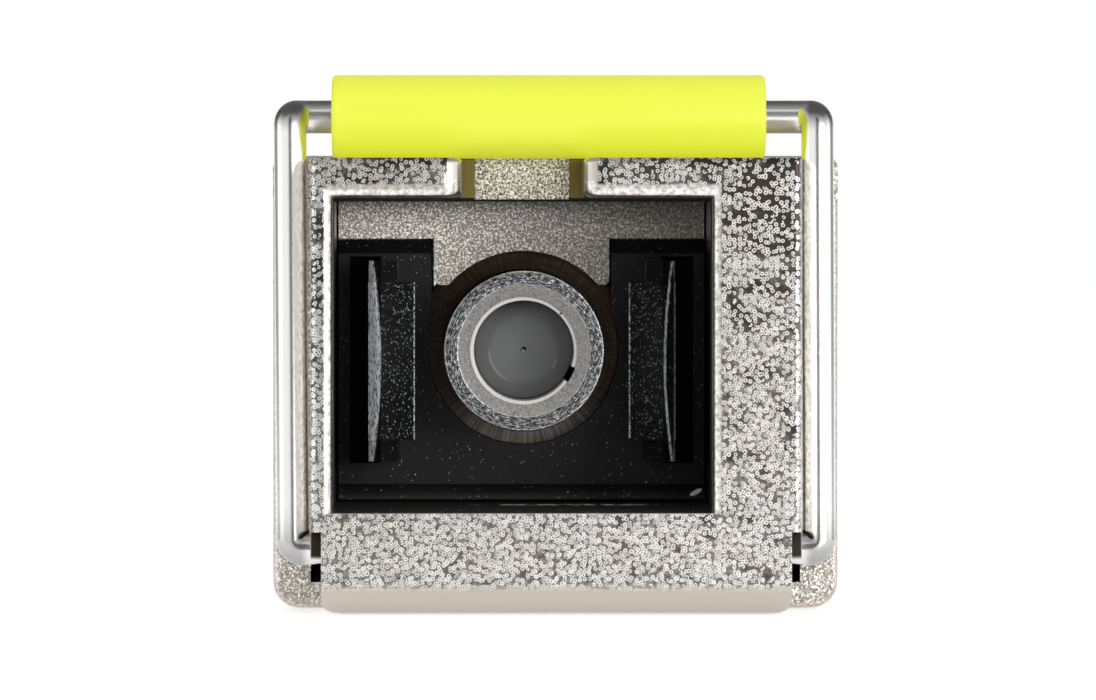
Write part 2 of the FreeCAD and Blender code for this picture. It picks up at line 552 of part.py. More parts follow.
def make_lower_housing():
    """Casting with the nose, the port walls, the lower collar and the tray."""
    port = both("port_width / 2", PORT_X)
    key = both("key_width / 2", PORT_X)
    sill = block("nose_sill", both("sill_width / 2"), (FRONT, at("nose_depth")), ("0", SILL_TOP))
    head = block("nose_head", both("nose_width / 2"), (FRONT, at("nose_depth")), (SILL_TOP, NOSE_TOP))
    mouth = deep_block("port_mouth", port, past("0", "nose_depth"), ("port_floor", PORT_TOP))
    slot = deep_block("key_slot", key, past("0", "nose_depth"), (AXIS_Z, f"({NOSE_TOP} + overcut)"))
    nose = cut("nose_blank", fuse("nose_solid", sill, head), mouth, slot)
    doc.recompute()

    face = nose.Shape.BoundBox.YMin
    top = nose.Shape.BoundBox.ZMax
    ceiling = worked_out(PORT_TOP)
    middle = worked_out(PORT_X)
    sides = [middle - size("port_width") / 2, middle + size("port_width") / 2]
    key_sides = [middle - size("key_width") / 2, middle + size("key_width") / 2]
    outsides = [-size("nose_width") / 2, size("nose_width") / 2]

    def under_face(edge):
        return along(edge, "x") and near(edge, y=face, z=0)

    def lower_sides(edge):
        half = size("sill_width") / 2
        return along(edge, "y") and (near(edge, x=-half, z=0) or near(edge, x=half, z=0))

    def around_mouth(edge):
        upright = along(edge, "z") and any(near(edge, x=side, y=face) for side in sides)
        return upright or (along(edge, "x") and near(edge, y=face, z=ceiling))

    def key_edges(edge):
        return along(edge, "z") and any(near(edge, x=side, y=face) for side in key_sides)

    def outer_edges(edge):
        upright = along(edge, "z") and any(near(edge, x=side, y=face) for side in outsides)
        return upright or (along(edge, "x") and near(edge, y=face, z=top))

    soft = round_edges("nose_soft_mouth", nose, (size("key_round"), key_edges))
    soft = round_edges("nose_soft_sill", soft,
                       (size("sill_round"), under_face), (size("sill_side_round"), lower_sides))
    soft = round_edges("nose_soft", soft,
                       (size("mouth_round"), around_mouth), (size("nose_round"), outer_edges))

    collar = deep_block("collar_block", both(COLLAR_HALF), ("nose_depth", STOP), ("0", PORT_TOP))
    doc.recompute()
    collar_half = collar.Shape.BoundBox.XMax
    collar_face = collar.Shape.BoundBox.YMin

    def collar_under(edge):
        return along(edge, "y") and (near(edge, x=-collar_half, z=0) or near(edge, x=collar_half, z=0))

    def collar_front(edge):
        sides = (-collar_half, collar_half)
        upright = along(edge, "z") and any(near(edge, x=side, y=collar_face) for side in sides)
        return upright or (along(edge, "x") and near(edge, y=collar_face, z=0))

    collar = round_edges("collar_soft", collar,
                         (size("collar_round"), collar_under), (size("nose_round"), collar_front))

    tray = deep_block("tray_block", both("body_width / 2"), (STOP, TOTAL), ("body_floor", BODY_SEAM))
    doc.recompute()
    tray_half = size("body_width") / 2

    def tray_under(edge):
        level = size("body_floor")
        return along(edge, "y") and (near(edge, x=-tray_half, z=level) or near(edge, x=tray_half, z=level))

    tray = bevel_edges("tray_bevelled", tray, "body_chamfer", tray_under)

    above = f"({NOSE_TOP} + overcut)"
    pocket = both(POCKET_HALF, PORT_X)
    chamber = both(f"({COLLAR_HALF} - collar_wall)")
    throat_half = f"({NECK_OUT} + rib_gap)"
    hollows = [
        deep_block("port_pocket", pocket, ("lip_depth", "nose_depth"), ("port_floor", PORT_TOP)),
        deep_block("port_well", pocket, ("nose_depth", FRAME_REAR), ("port_floor", above)),
        deep_block("flange_well", pocket, (FRAME_REAR, RIB_FRONT), (RAISED_FLOOR, above)),
        deep_block("neck_slot", both(throat_half, AXIS_X), (RIB_FRONT, RIB_REAR), (AXIS_Z, above)),
        deep_rod("neck_seat", throat_half, (RIB_FRONT, RIB_REAR)),
        deep_block("collar_chamber", chamber, (RIB_REAR, STOP), (RAISED_FLOOR, above)),
        deep_block("optics_well", both(INNER_X), (STOP, BOARD_FRONT), (RAISED_FLOOR, above)),
        deep_block("board_well", both(INNER_X), (f"({LEVER_END} + body_wall)", f"({TOTAL} + overcut)"),
                   (FLOOR_TOP, above)),
        deep_block("tongue_opening", both(INNER_X), (f"({SHOULDER} + rear_opening)", f"({TOTAL} + overcut)"),
                   ("0", above)),
        deep_block("bar_cavity", both(CAVITY_HALF), ("sill_lip", f"({BAR_REAR} + lever_bar_gap)"),
                   ("(-overcut)", CAVITY_TOP)),
        deep_block("lever_channel", both(CHANNEL_HALF), ("sill_lip", f"({SPRING_DEPTH} - spring_radius)"),
                   ("(-overcut)", CAVITY_TOP)),
        deep_block("rear_channel", both(CHANNEL_HALF),
                   (f"({SPRING_DEPTH} - spring_radius)", f"({LEVER_END} + lever_side_gap)"),
                   ("(-overcut)", REAR_CEILING)),
        upright_rod("spring_pocket", "(spring_radius + spring_wire + spring_room)", "0", SPRING_DEPTH,
                    ("body_floor", SPRING_TOP)),
        cross_rod("pin_bore", "(latch_pin_radius + fit_gap)",
                  (f"(-{CHANNEL_HALF} - latch_pin_seat)", f"({COLLAR_HALF} + overcut)"),
                  "latch_pin_depth", "latch_pin_height"),
        cross_rod("pivot_bores", "(wire_radius + pivot_gap)", both("(sill_width / 2 + overcut)"),
                  "bail_pivot_depth", "bail_pivot_height"),
    ]
    for side in SIDES:
        relief = beside(side, "sill_width / 2", "(sill_width / 2 + pivot_relief_width)")
        relief_z = both("pivot_relief_height / 2", "(bail_pivot_height - pivot_relief_drop)")
        hollows.append(deep_block(f"{side}_pivot_relief", relief,
                                  ("nose_depth", "nose_depth + pivot_relief_depth"), relief_z))
    shell = cut("lower_shell", fuse("lower_solid", soft, collar, tray), *hollows)

    root = "body_floor + floor_thickness / 2"
    fittings = [shell]
    threads = []
    for side in SIDES:
        rail = beside(side, f"({INNER_X} - rail_width)", INNER_X)
        fittings.append(deep_block(f"{side}_rail", rail, (BOARD_FRONT, TONGUE_START), (root, BOARD_UNDER)))
        fittings.append(upright_rod(f"{side}_lower_post", "post_radius", SCREW_X[side], SCREW_DEPTH,
                                    (root, BODY_SEAM)))
        threads.append(upright_rod(f"{side}_thread", "screw_radius + fit_gap", SCREW_X[side], SCREW_DEPTH,
                                   (f"{BODY_TOP} - screw_length - fit_gap", above)))
    return cut("lower_housing", fuse("lower_fitted", *fittings), *threads)


def make_upper_housing():
    """Casting with the top of the collar, the arch plate, the clamp and the roof."""
    cap_under = f"({PORT_TOP} + seam_gap)"
    cap = deep_block("cap_block", both(COLLAR_HALF), ("(nose_depth + seam_gap)", STOP),
                     (cap_under, CAP_TOP))
    doc.recompute()
    half = cap.Shape.BoundBox.XMax
    top = cap.Shape.BoundBox.ZMax
    face = cap.Shape.BoundBox.YMin

    def cap_sides(edge):
        return along(edge, "y") and (near(edge, x=-half, z=top) or near(edge, x=half, z=top))

    def cap_front(edge):
        return along(edge, "x") and near(edge, y=face, z=top)

    cap = round_edges("cap_soft", cap, (size("cap_round"), cap_sides), (size("nose_round"), cap_front))

    chamber_half = f"({COLLAR_HALF} - collar_wall - frame_gap)"
    plate = both(PLATE_HALF, PORT_X)
    plate_under = "(port_floor + frame_gap + frame_height + seam_gap)"
    inner_depths = (f"({STOP} + seam_gap)", TOTAL)
    posts_and_ribs = []
    for side in SIDES:
        posts_and_ribs.append(upright_rod(f"{side}_upper_post", "post_radius", SCREW_X[side], SCREW_DEPTH,
                                          (f"{BODY_SEAM} + seam_gap", BODY_TOP)))
        rib = beside(side, f"({INNER_X} - rail_width)", f"({INNER_X} - frame_gap)")
        for end, start in (("front", f"{BOARD_FRONT} + strip_foot + clamp_length"),
                           ("rear", f"{TONGUE_START} - 2 * clamp_length")):
            posts_and_ribs.append(deep_block(f"{side}_{end}_board_rib", rib,
                                             (start, f"{start} + clamp_length"), (BOARD_TOP, BODY_TOP)))
    legs = deep_block("arch_legs", both("arch_leg", PORT_X), ("frame_depth", FRAME_REAR),
                      (f"({plate_under} - arch_drop)", f"({cap_under} + cap_rise)"))
    doc.recompute()
    leg_end = legs.Shape.BoundBox.ZMin
    legs = round_edges("arch_legs_soft", legs,
                       (size("leg_round"), lambda edge: along(edge, "y") and near(edge, z=leg_end)))
    solid = fuse(
        "upper_solid",
        cap,
        deep_block("arch_plate", plate, ("frame_depth", FRAME_REAR),
                   (plate_under, f"({cap_under} + cap_rise)")),
        legs,
        deep_block("neck_clamp", both(NECK_OUT, AXIS_X),
                   (f"({RIB_FRONT} + rib_gap)", f"({RIB_REAR} - rib_gap)"),
                   (f"({PORT_TOP} - clamp_drop)", f"({cap_under} + cap_rise)")),
        deep_block("roof_step", both(chamber_half), (f"({RIB_REAR} + rib_gap)", inner_depths[0]),
                   (ROOF_UNDER, f"({cap_under} + cap_rise)")),
        deep_block("roof_root", both(chamber_half), (f"({RIB_REAR} + rib_gap)", f"({STOP} + body_wall)"),
                   (ROOF_UNDER, BODY_TOP)),
        deep_block("roof_plate", both("body_width / 2"), inner_depths, (ROOF_UNDER, BODY_TOP)),
        deep_block("left_roof_side", ("(-body_width / 2)", f"(-{INNER_X})"), inner_depths,
                   (f"({BODY_SEAM} + seam_gap)", BODY_TOP)),
        deep_block("right_roof_side", (INNER_X, "(body_width / 2)"), inner_depths,
                   (f"({BODY_SEAM} + seam_gap)", BODY_TOP)),
        deep_block("chip_pedestal", both("(chip_side / 2)"),
                   (f"({BOARD_FRONT} + chip_place)", f"({BOARD_FRONT} + chip_place + chip_side)"),
                   (f"({CHIP_TOP} + pad_stack)", BODY_TOP)),
        *posts_and_ribs,
    )
    optics_top = f"({AXIS_Z} + optics_radius + optics_gap)"
    hollows = [
        deep_block("key_notch", both("(key_notch_width / 2)", PORT_X),
                   ("(nose_depth - overcut)", "(nose_depth + key_notch_depth)"),
                   (AXIS_Z, f"({NOSE_TOP} + overcut)")),
        deep_rod("arch_bore", f"({TUBE_OUT} + arch_clear)",
                 ("(frame_depth - overcut)", f"({FRAME_REAR} + rib_gap)")),
        deep_rod("clamp_bore", f"({NECK_OUT} + rib_gap)", (FRAME_REAR, RIB_REAR)),
        deep_rod("flange_room", f"({FLANGE_OUT} + flange_gap)", (f"({RIB_REAR} + rib_gap / 2)", STOP)),
        deep_block("optics_room", both("(optics_radius + optics_gap)", AXIS_X),
                   (f"({RIB_REAR} + rib_gap / 2)", BOARD_FRONT), (AXIS_Z, optics_top)),
        deep_block("bare_panel", both("(body_width / 2 - panel_margin)"),
                   (f"({STOP} + panel_start)", f"({SCREW_DEPTH} - screw_head - panel_margin)"),
                   (f"({BODY_TOP} - panel_depth)", f"({BODY_TOP} + overcut)")),
    ]
    sink_depth = "(screw_head - screw_radius + fit_gap)"
    for side in SIDES:
        hollows.append(upright_rod(f"{side}_clearance", "screw_radius + rib_gap", SCREW_X[side], SCREW_DEPTH,
                                   ("body_floor", f"{BODY_TOP} + overcut")))
        sink = doc.addObject("Part::Cone", f"{side}_countersink")
        bind(sink, "Radius1", "screw_radius + fit_gap")
        bind(sink, "Radius2", "screw_head + 2 * fit_gap")
        bind(sink, "Height", sink_depth)
        hollows.append(place(sink, SCREW_X[side], at(SCREW_DEPTH), f"{BODY_TOP} - {sink_depth}"))
    return cut("upper_housing", solid, *hollows)


def make_housing_screws():
    """Two countersunk screws that hold the castings together."""
    under_head = f"({BODY_TOP} - (screw_head - screw_radius))"
    end = f"({BODY_TOP} - screw_length)"
    pieces = []
    for side in SIDES:
        profile = [
            ("0", end),
            ("screw_radius", end),
            ("screw_radius", under_head),
            ("screw_head", BODY_TOP),
            ("screw_socket", BODY_TOP),
            ("screw_socket", f"({BODY_TOP} - screw_socket_depth)"),
            ("0", f"({BODY_TOP} - screw_socket_depth)"),
        ]
        pieces.append(turned(f"{side}_screw", profile, SCREW_X[side], at(SCREW_DEPTH), "0", UPRIGHT))
    return group("housing_screws", *pieces)


def make_plug_latch_frame():
    """Black moulding with the two hooks that hold the plug."""
    under = "(port_floor + frame_gap)"
    top = f"({under} + frame_height)"
    plate = both(PLATE_HALF, PORT_X)
    slot = (f"({under} + hook_slot_foot)", f"({top} - hook_slot_head)")
    arm_heights = (f"({slot[0]} + hook_slot_gap)", f"({slot[1]} - hook_slot_gap)")
    head_heights = (f"({arm_heights[0]} + hook_head_inset)", f"({arm_heights[1]} - hook_head_inset)")
    back = deep_block("frame_plate", plate, ("frame_depth", FRAME_REAR), (under, top))
    doc.recompute()
    face = back.Shape.BoundBox.YMin
    ridge = back.Shape.BoundBox.ZMax
    back = bevel_edges("frame_plate_bevelled", back, "frame_bevel",
                       lambda edge: along(edge, "x") and near(edge, y=face, z=ridge))
    foot = deep_block("frame_foot", plate, ("(frame_depth - foot_depth)", "frame_depth + frame_bevel"),
                      (under, f"({under} + foot_height)"))
    doc.recompute()
    foot_face = foot.Shape.BoundBox.YMin
    foot_top = foot.Shape.BoundBox.ZMax

    def foot_front(edge):
        return along(edge, "x") and near(edge, y=foot_face, z=foot_top)

    foot = round_edges("frame_foot_soft", foot, (size("frame_bevel"), foot_front))
    hollows = [
        deep_block("tube_slot", both("(arch_leg + arch_gap)", PORT_X), past("frame_depth", FRAME_REAR),
                   (AXIS_Z, f"({top} + overcut)")),
        deep_rod("tube_round", f"({TUBE_OUT} + tube_clear)", past("frame_depth", FRAME_REAR)),
    ]
    hooks = []
    for side in SIDES:
        room = beside(side, f"({HOOK_OUT} - hook_thickness / 3)", f"({HOOK_OUT} + hook_room)", PORT_X)
        hollows.append(deep_block(f"{side}_hook_slot", room, past("frame_depth", FRAME_REAR), slot))
        arm = [
            (HOOK_IN, "(frame_depth + frame_bevel)"),
            (HOOK_IN, "(hook_tip_depth + hook_lead)"),
            (f"({HOOK_OUT} - hook_bevel)", "(hook_tip_depth + hook_lead / 2)"),
            (HOOK_OUT, "(hook_tip_depth + hook_lead)"),
            (HOOK_OUT, "frame_depth"),
            (f"({HOOK_OUT} - hook_thickness / 3)", "(frame_depth + frame_bevel)"),
        ]
        head = [
            (f"({HOOK_IN} + hook_thickness / 4)", "(hook_tip_depth + hook_lead + hook_land)"),
            (HOOK_CATCH, "(hook_tip_depth + hook_lead + hook_land)"),
            (HOOK_CATCH, "(hook_tip_depth + hook_lead)"),
            (f"({HOOK_OUT} - hook_bevel)", "hook_tip_depth"),
            (HOOK_OUT, "(hook_tip_depth + hook_bevel)"),
            (HOOK_OUT, "(hook_tip_depth + hook_lead + hook_land)"),
        ]
        for piece, corners, heights in (("arm", arm, arm_heights), ("head", head, head_heights)):
            sign = "-" if side == "left" else "+"
            points = [(f"({PORT_X} {sign} {across})", at(depth)) for across, depth in corners]
            hooks.append(padded(f"{side}_hook_{piece}", "XY_Plane", points,
                                heights[0], f"({heights[1]} - {heights[0]})"))
    plate_cut = cut("frame_plate_cut", fuse("frame_solid", back, foot), *hollows)
    return fuse("plug_latch_frame", plate_cut, *hooks)


def make_receptacle():
    """Turned tube, flanged holder, split sleeve and ferrule stub with its fibre."""
    throat_end = "(tube_tip + tube_lead + tube_lip)"
    well = f"({SLEEVE_OUT} + fit_gap)"
    stub_seat = "(sleeve_bore + fit_gap)"
    shell = deep_turned("receptacle_shell", [
        (MOUTH, "tube_tip"),
        (f"({TUBE_OUT} - tube_round)", "tube_tip"),
        (TUBE_OUT, "(tube_tip + tube_round)"),
        (TUBE_OUT, TUBE_END),
        (stub_seat, TUBE_END),
        (stub_seat, f"({SLEEVE_REAR} + fit_gap)"),
        (well, f"({SLEEVE_REAR} + fit_gap)"),
        (well, throat_end),
        (f"({THROAT} + throat_draft)", throat_end),
        (THROAT, "(tube_tip + tube_lead)"),
    ])
    holder = deep_turned("receptacle_holder", [
        (f"({TUBE_OUT} + fit_gap)", FRAME_REAR),
        (FLANGE_OUT, FRAME_REAR),
        (FLANGE_OUT, RIB_FRONT),
        (NECK_OUT, RIB_FRONT),
        (NECK_OUT, RIB_REAR),
        (FLANGE_OUT, RIB_REAR),
        (FLANGE_OUT, STOP),
        (f"({TUBE_OUT} + fit_gap)", STOP),
    ])
    grip = "(sleeve_bore + fit_gap)"
    tube = deep_turned("sleeve_tube", [
        ("sleeve_bore", SLEEVE_FRONT),
        (SLEEVE_OUT, SLEEVE_FRONT),
        (SLEEVE_OUT, SLEEVE_REAR),
        (grip, SLEEVE_REAR),
        (grip, f"({STUB_FRONT} - fit_gap)"),
        ("sleeve_bore", f"({STUB_FRONT} - fit_gap - sleeve_relief)"),
    ])
    slit = doc.addObject("Part::Box", "sleeve_slit_tool")
    bind(slit, "Length", f"(2 * {SLEEVE_OUT})")
    bind(slit, "Width", span(past(SLEEVE_FRONT, SLEEVE_REAR)))
    bind(slit, "Height", "sleeve_slit")
    bind(slit, "Placement.Rotation.Angle", "sleeve_slit_turn")
    slit_turn = FreeCAD.Rotation(FreeCAD.Vector(0, 1, 0), size("sleeve_slit_turn"))
    slit.Placement = FreeCAD.Placement(FreeCAD.Vector(), slit_turn)
    bind(slit, "Placement.Base.x", f"({AXIS_X} - sin(sleeve_slit_turn) * sleeve_slit / 2)")
    bind(slit, "Placement.Base.y", at(f"({SLEEVE_FRONT} - overcut)"))
    bind(slit, "Placement.Base.z", f"({AXIS_Z} - cos(sleeve_slit_turn) * sleeve_slit / 2)")
    sleeve = cut("split_sleeve", tube, slit)
    stub = deep_turned("fibre_stub", [
        ("(fibre_radius + fibre_gap)", STUB_FRONT),
        ("stub_face", STUB_FRONT),
        ("sleeve_bore", f"({STUB_FRONT} + stub_bevel)"),
        ("sleeve_bore", TUBE_END),
        ("(fibre_radius + fibre_gap)", TUBE_END),
    ])
    fibre = deep_rod("stub_fibre", "fibre_radius", (STUB_FRONT, TUBE_END))
    return [shell, holder, sleeve, stub, fibre]


def make_optics():
    """Optics block with the filter, the laser and the receiver."""
    seat = f"({SIDE_SEAT} - side_can_length - fit_gap)"
    can_front = f"({OPTICS_REAR} - can_length)"
    solid = fuse(
        "optics_solid",
        deep_rod("optics_barrel", "optics_radius", (STOP, OPTICS_REAR)),
        cross_rod("optics_boss", "side_radius", (AXIS_X, SIDE_SEAT), SIDE_DEPTH, AXIS_Z),
    )
    optics = cut(
        "optics_block", solid,
        deep_rod("light_path", "light_bore", past(STOP, OPTICS_REAR)),
        deep_rod("can_seat", "(can_radius + fit_gap)",
                 (f"({can_front} - lens_stand - fit_gap)", f"({OPTICS_REAR} + overcut)")),
        cross_rod("side_path", "side_bore", (AXIS_X, f"({SIDE_SEAT} + overcut)"), SIDE_DEPTH, AXIS_Z),
        cross_rod("side_can_seat", "(side_can_radius + fit_gap)", (seat, f"({SIDE_SEAT} + overcut)"),
                  SIDE_DEPTH, AXIS_Z),
    )

    plate = doc.addObject("Part::Box", "wavelength_filter")
    bind(plate, "Length", "filter_side")
    bind(plate, "Width", "filter_thickness")
    bind(plate, "Height", "filter_height")
    half_turn = math.pi / 4
    across = f"((filter_side - filter_thickness) / 2 * {math.cos(half_turn)})"
    ahead = f"((filter_side + filter_thickness) / 2 * {math.sin(half_turn)})"
    place(plate, f"({AXIS_X} - {across})", f"({at(SIDE_DEPTH)} - {ahead})", f"({AXIS_Z} - filter_height / 2)",
          FreeCAD.Rotation(FreeCAD.Vector(0, 0, 1), math.degrees(half_turn)))

    hole = "(lens_radius + fit_gap)"
    lens_rear = f"({can_front} - lens_stand + lens_length)"
    laser = deep_turned("laser_can", [
        (hole, can_front),
        ("can_radius", can_front),
        ("can_radius", OPTICS_REAR),
        ("optics_radius", OPTICS_REAR),
        ("optics_radius", HEADER_REAR),
        ("0", HEADER_REAR),
        ("0", lens_rear),
        (hole, lens_rear),
    ])
    lens = deep_turned("laser_lens", [
        ("0", f"({lens_rear} - lens_length)"),
        ("(lens_radius / 2)", f"({lens_rear} - lens_length + lens_radius / 8)"),
        ("lens_radius", f"({lens_rear} - lens_length + lens_radius / 2)"),
        ("lens_radius", lens_rear),
        ("0", lens_rear),
    ])
    side_front = f"({SIDE_SEAT} - side_can_length)"
    side_lens_rear = f"({side_front} - lens_stand + lens_length)"
    receiver = turned("receiver_can", [
        (hole, side_front),
        ("side_can_radius", side_front),
        ("side_can_radius", SIDE_SEAT),
        ("side_radius", SIDE_SEAT),
        ("side_radius", SIDE_REAR),
        ("0", SIDE_REAR),
        ("0", side_lens_rear),
        (hole, side_lens_rear),
    ], "0", at(SIDE_DEPTH), AXIS_Z, DOWN_X)
    side_lens = turned("receiver_lens", [
        ("0", f"({side_lens_rear} - lens_length)"),
        ("(lens_radius / 2)", f"({side_lens_rear} - lens_length + lens_radius / 8)"),
        ("lens_radius", f"({side_lens_rear} - lens_length + lens_radius / 2)"),
        ("lens_radius", side_lens_rear),
        ("0", side_lens_rear),
    ], "0", at(SIDE_DEPTH), AXIS_Z, DOWN_X)

    signs = [("lower_left", "-1", "-1"), ("lower_right", "1", "-1"),
             ("upper_left", "-1", "1"), ("upper_right", "1", "1")]
    reach = f"(lead_circle * {math.cos(half_turn)})"
    laser_pins = [deep_rod(f"laser_lead_{name}", "lead_radius",
                           (HEADER_REAR, f"({HEADER_REAR} + lead_length)"),
                           f"({AXIS_X} + {across} * {reach})", f"({AXIS_Z} + {rise} * {reach})")
                  for name, across, rise in signs]
    side_pins = [cross_rod(f"receiver_lead_{name}", "lead_radius",
                           (SIDE_REAR, f"({SIDE_REAR} + lead_length)"),
                           f"({SIDE_DEPTH} + {across} * {reach})", f"({AXIS_Z} + {rise} * {reach})")
                 for name, across, rise in signs]
    laser_leads = group("laser_leads", *laser_pins)
    side_leads = group("receiver_leads", *side_pins)

    foot_end = f"({BOARD_FRONT} + strip_foot)"
    strip_face = f"({STRIP_DEPTH} + strip_thickness)"
    strip_top = f"({AXIS_Z} + strip_width / 2)"
    upper = f"({BOARD_TOP} + strip_thickness)"
    strip = side_padded("laser_strip", [
        (STRIP_DEPTH, strip_top), (strip_face, strip_top), (strip_face, upper), (foot_end, upper),
        (foot_end, BOARD_TOP), (STRIP_DEPTH, BOARD_TOP),
    ], both("(strip_width / 2)", AXIS_X))
    doc.recompute()
    foot = strip.Shape.BoundBox.ZMin
    head = strip.Shape.BoundBox.YMin
    web = size("strip_thickness")
    bend = size("strip_round")

    def inside_bend(edge):
        return along(edge, "x") and near(edge, y=head + web, z=foot + web)

    def outside_bend(edge):
        return along(edge, "x") and near(edge, y=head, z=foot)

    strip = round_edges("laser_strip_inside", strip, (bend - web, inside_bend))
    strip = round_edges("laser_strip_bent", strip, (bend, outside_bend))
    lead_hole = "(lead_radius + fit_gap)"
    laser_flex = cut("laser_flex", strip, *[
        deep_rod(f"laser_strip_hole_{name}", lead_hole, past(STRIP_DEPTH, strip_face),
                 f"({AXIS_X} + {across} * {reach})", f"({AXIS_Z} + {rise} * {reach})")
        for name, across, rise in signs])

    wall = (SIDE_STRIP, f"({SIDE_STRIP} + strip_thickness)")
    tail_under = f"({BOARD_TOP} + board_thickness / 2)"
    tail_top = f"({tail_under} + side_strip_tail)"
    side_head = both("(strip_width / 2)", SIDE_DEPTH)
    side_flex = cut(
        "receiver_flex",
        fuse("receiver_strip",
             deep_block("strip_head", wall, side_head, both("(strip_width / 2)", AXIS_Z)),
             deep_block("strip_tail", wall, (side_head[1], foot_end), (tail_under, tail_top)),
             deep_block("strip_drop", wall, (BOARD_FRONT, foot_end), (BOARD_TOP, tail_top)),
             deep_block("strip_lap", (f"({wall[1]} - side_strip_foot)", wall[1]), (BOARD_FRONT, foot_end),
                        (BOARD_TOP, upper))),
        *[cross_rod(f"receiver_strip_hole_{name}", lead_hole, past(SIDE_STRIP, wall[1]),
                    f"({SIDE_DEPTH} + {across} * {reach})", f"({AXIS_Z} + {rise} * {reach})")
          for name, across, rise in signs])
    return [optics, plate, laser, lens, laser_leads, receiver, side_lens, side_leads, laser_flex, side_flex]


def make_board():
    """Circuit board with its contact pads and components, and the thermal pad."""
    depths = (BOARD_UNDER, BOARD_TOP)
    tongue = deep_block("board_tongue", both("tongue_width / 2"), (TONGUE_START, BOARD_END), depths)
    doc.recompute()
    end = tongue.Shape.BoundBox.YMax
    tongue = bevel_edges("board_tongue_bevelled", tongue, "tongue_bevel",
                         lambda edge: along(edge, "x") and near(edge, y=end))
    main = deep_block("board_main", both(BOARD_HALF), (BOARD_FRONT, TONGUE_START), depths)
    notches = []
    reach = "(post_radius + notch_gap)"
    for side in SIDES:
        notches.append(upright_rod(f"{side}_board_notch", reach, SCREW_X[side], SCREW_DEPTH,
                                   ("body_floor", BODY_TOP)))
        notches.append(deep_block(f"{side}_board_gate", beside(side, SCREW_OFFSET, "body_width"),
                                  both(reach, SCREW_DEPTH), ("body_floor", BODY_TOP)))
    board = cut("circuit_board", fuse("board_solid", tongue, main), *notches)

    pads = []
    for face, low, high in (("upper", BOARD_TOP, f"({BOARD_TOP} + pad_thickness)"),
                            ("lower", f"({BOARD_UNDER} - pad_thickness)", BOARD_UNDER)):
        for number in range(10):
            middle = f"(pad_pitch * {number - 4.5})"
            pads.append(deep_block(f"{face}_pad_{number}", both("(pad_width / 2)", middle),
                                   (f"({BOARD_END} - pad_inset - pad_length)", f"({BOARD_END} - pad_inset)"),
                                   (low, high)))
    contact_pads = group("contact_pads", *pads)

    def chip(name, x, depth, width, length, height):
        return deep_block(name, both(f"({width} / 2)", x), (depth, f"({depth} + {length})"),
                          (BOARD_TOP, f"({BOARD_TOP} + {height})"))

    driver_front = f"({BOARD_FRONT} + chip_place)"
    controller_front = f"({BOARD_FRONT} + controller_place)"
    driver = chip("driver_chip", "0", driver_front, "chip_side", "chip_side", "chip_height")
    controller = chip("controller_chip", "(-controller_side / 2)", controller_front,
                      "controller_side", "controller_side", "controller_height")
    memory = chip("memory_chip", "(memory_length)", controller_front,
                  "memory_width", "memory_length", "memory_height")
    pad = deep_block("thermal_pad", both("(chip_side / 2)"), (driver_front, f"({driver_front} + chip_side)"),
                     (CHIP_TOP, f"({CHIP_TOP} + pad_stack)"))
    row_front = f"({driver_front} - 2 * small_length - small_pitch)"
    capacitors = group("chip_capacitors", *[
        chip(f"capacitor_{number}", f"(small_pitch * {number - 2})", row_front, "small_width", "small_length",
             "capacitor_height") for number in range(5)])
    resistors = group("chip_resistors", *[
        chip(f"resistor_{number}", f"(small_pitch * {number - 2})", f"({row_front} + small_pitch)",
             "small_width", "small_length", "resistor_height") for number in range(5)])
    coils = group("supply_inductors", *[
        chip(f"inductor_{number}", f"(memory_length + coil_width) * {number - 0.5} * 2",
             f"({controller_front} + controller_side + small_pitch)",
             "coil_width", "coil_length", "coil_height")
        for number in range(2)])
    return [board, contact_pads, driver, controller, memory, pad, capacitors, resistors, coils]


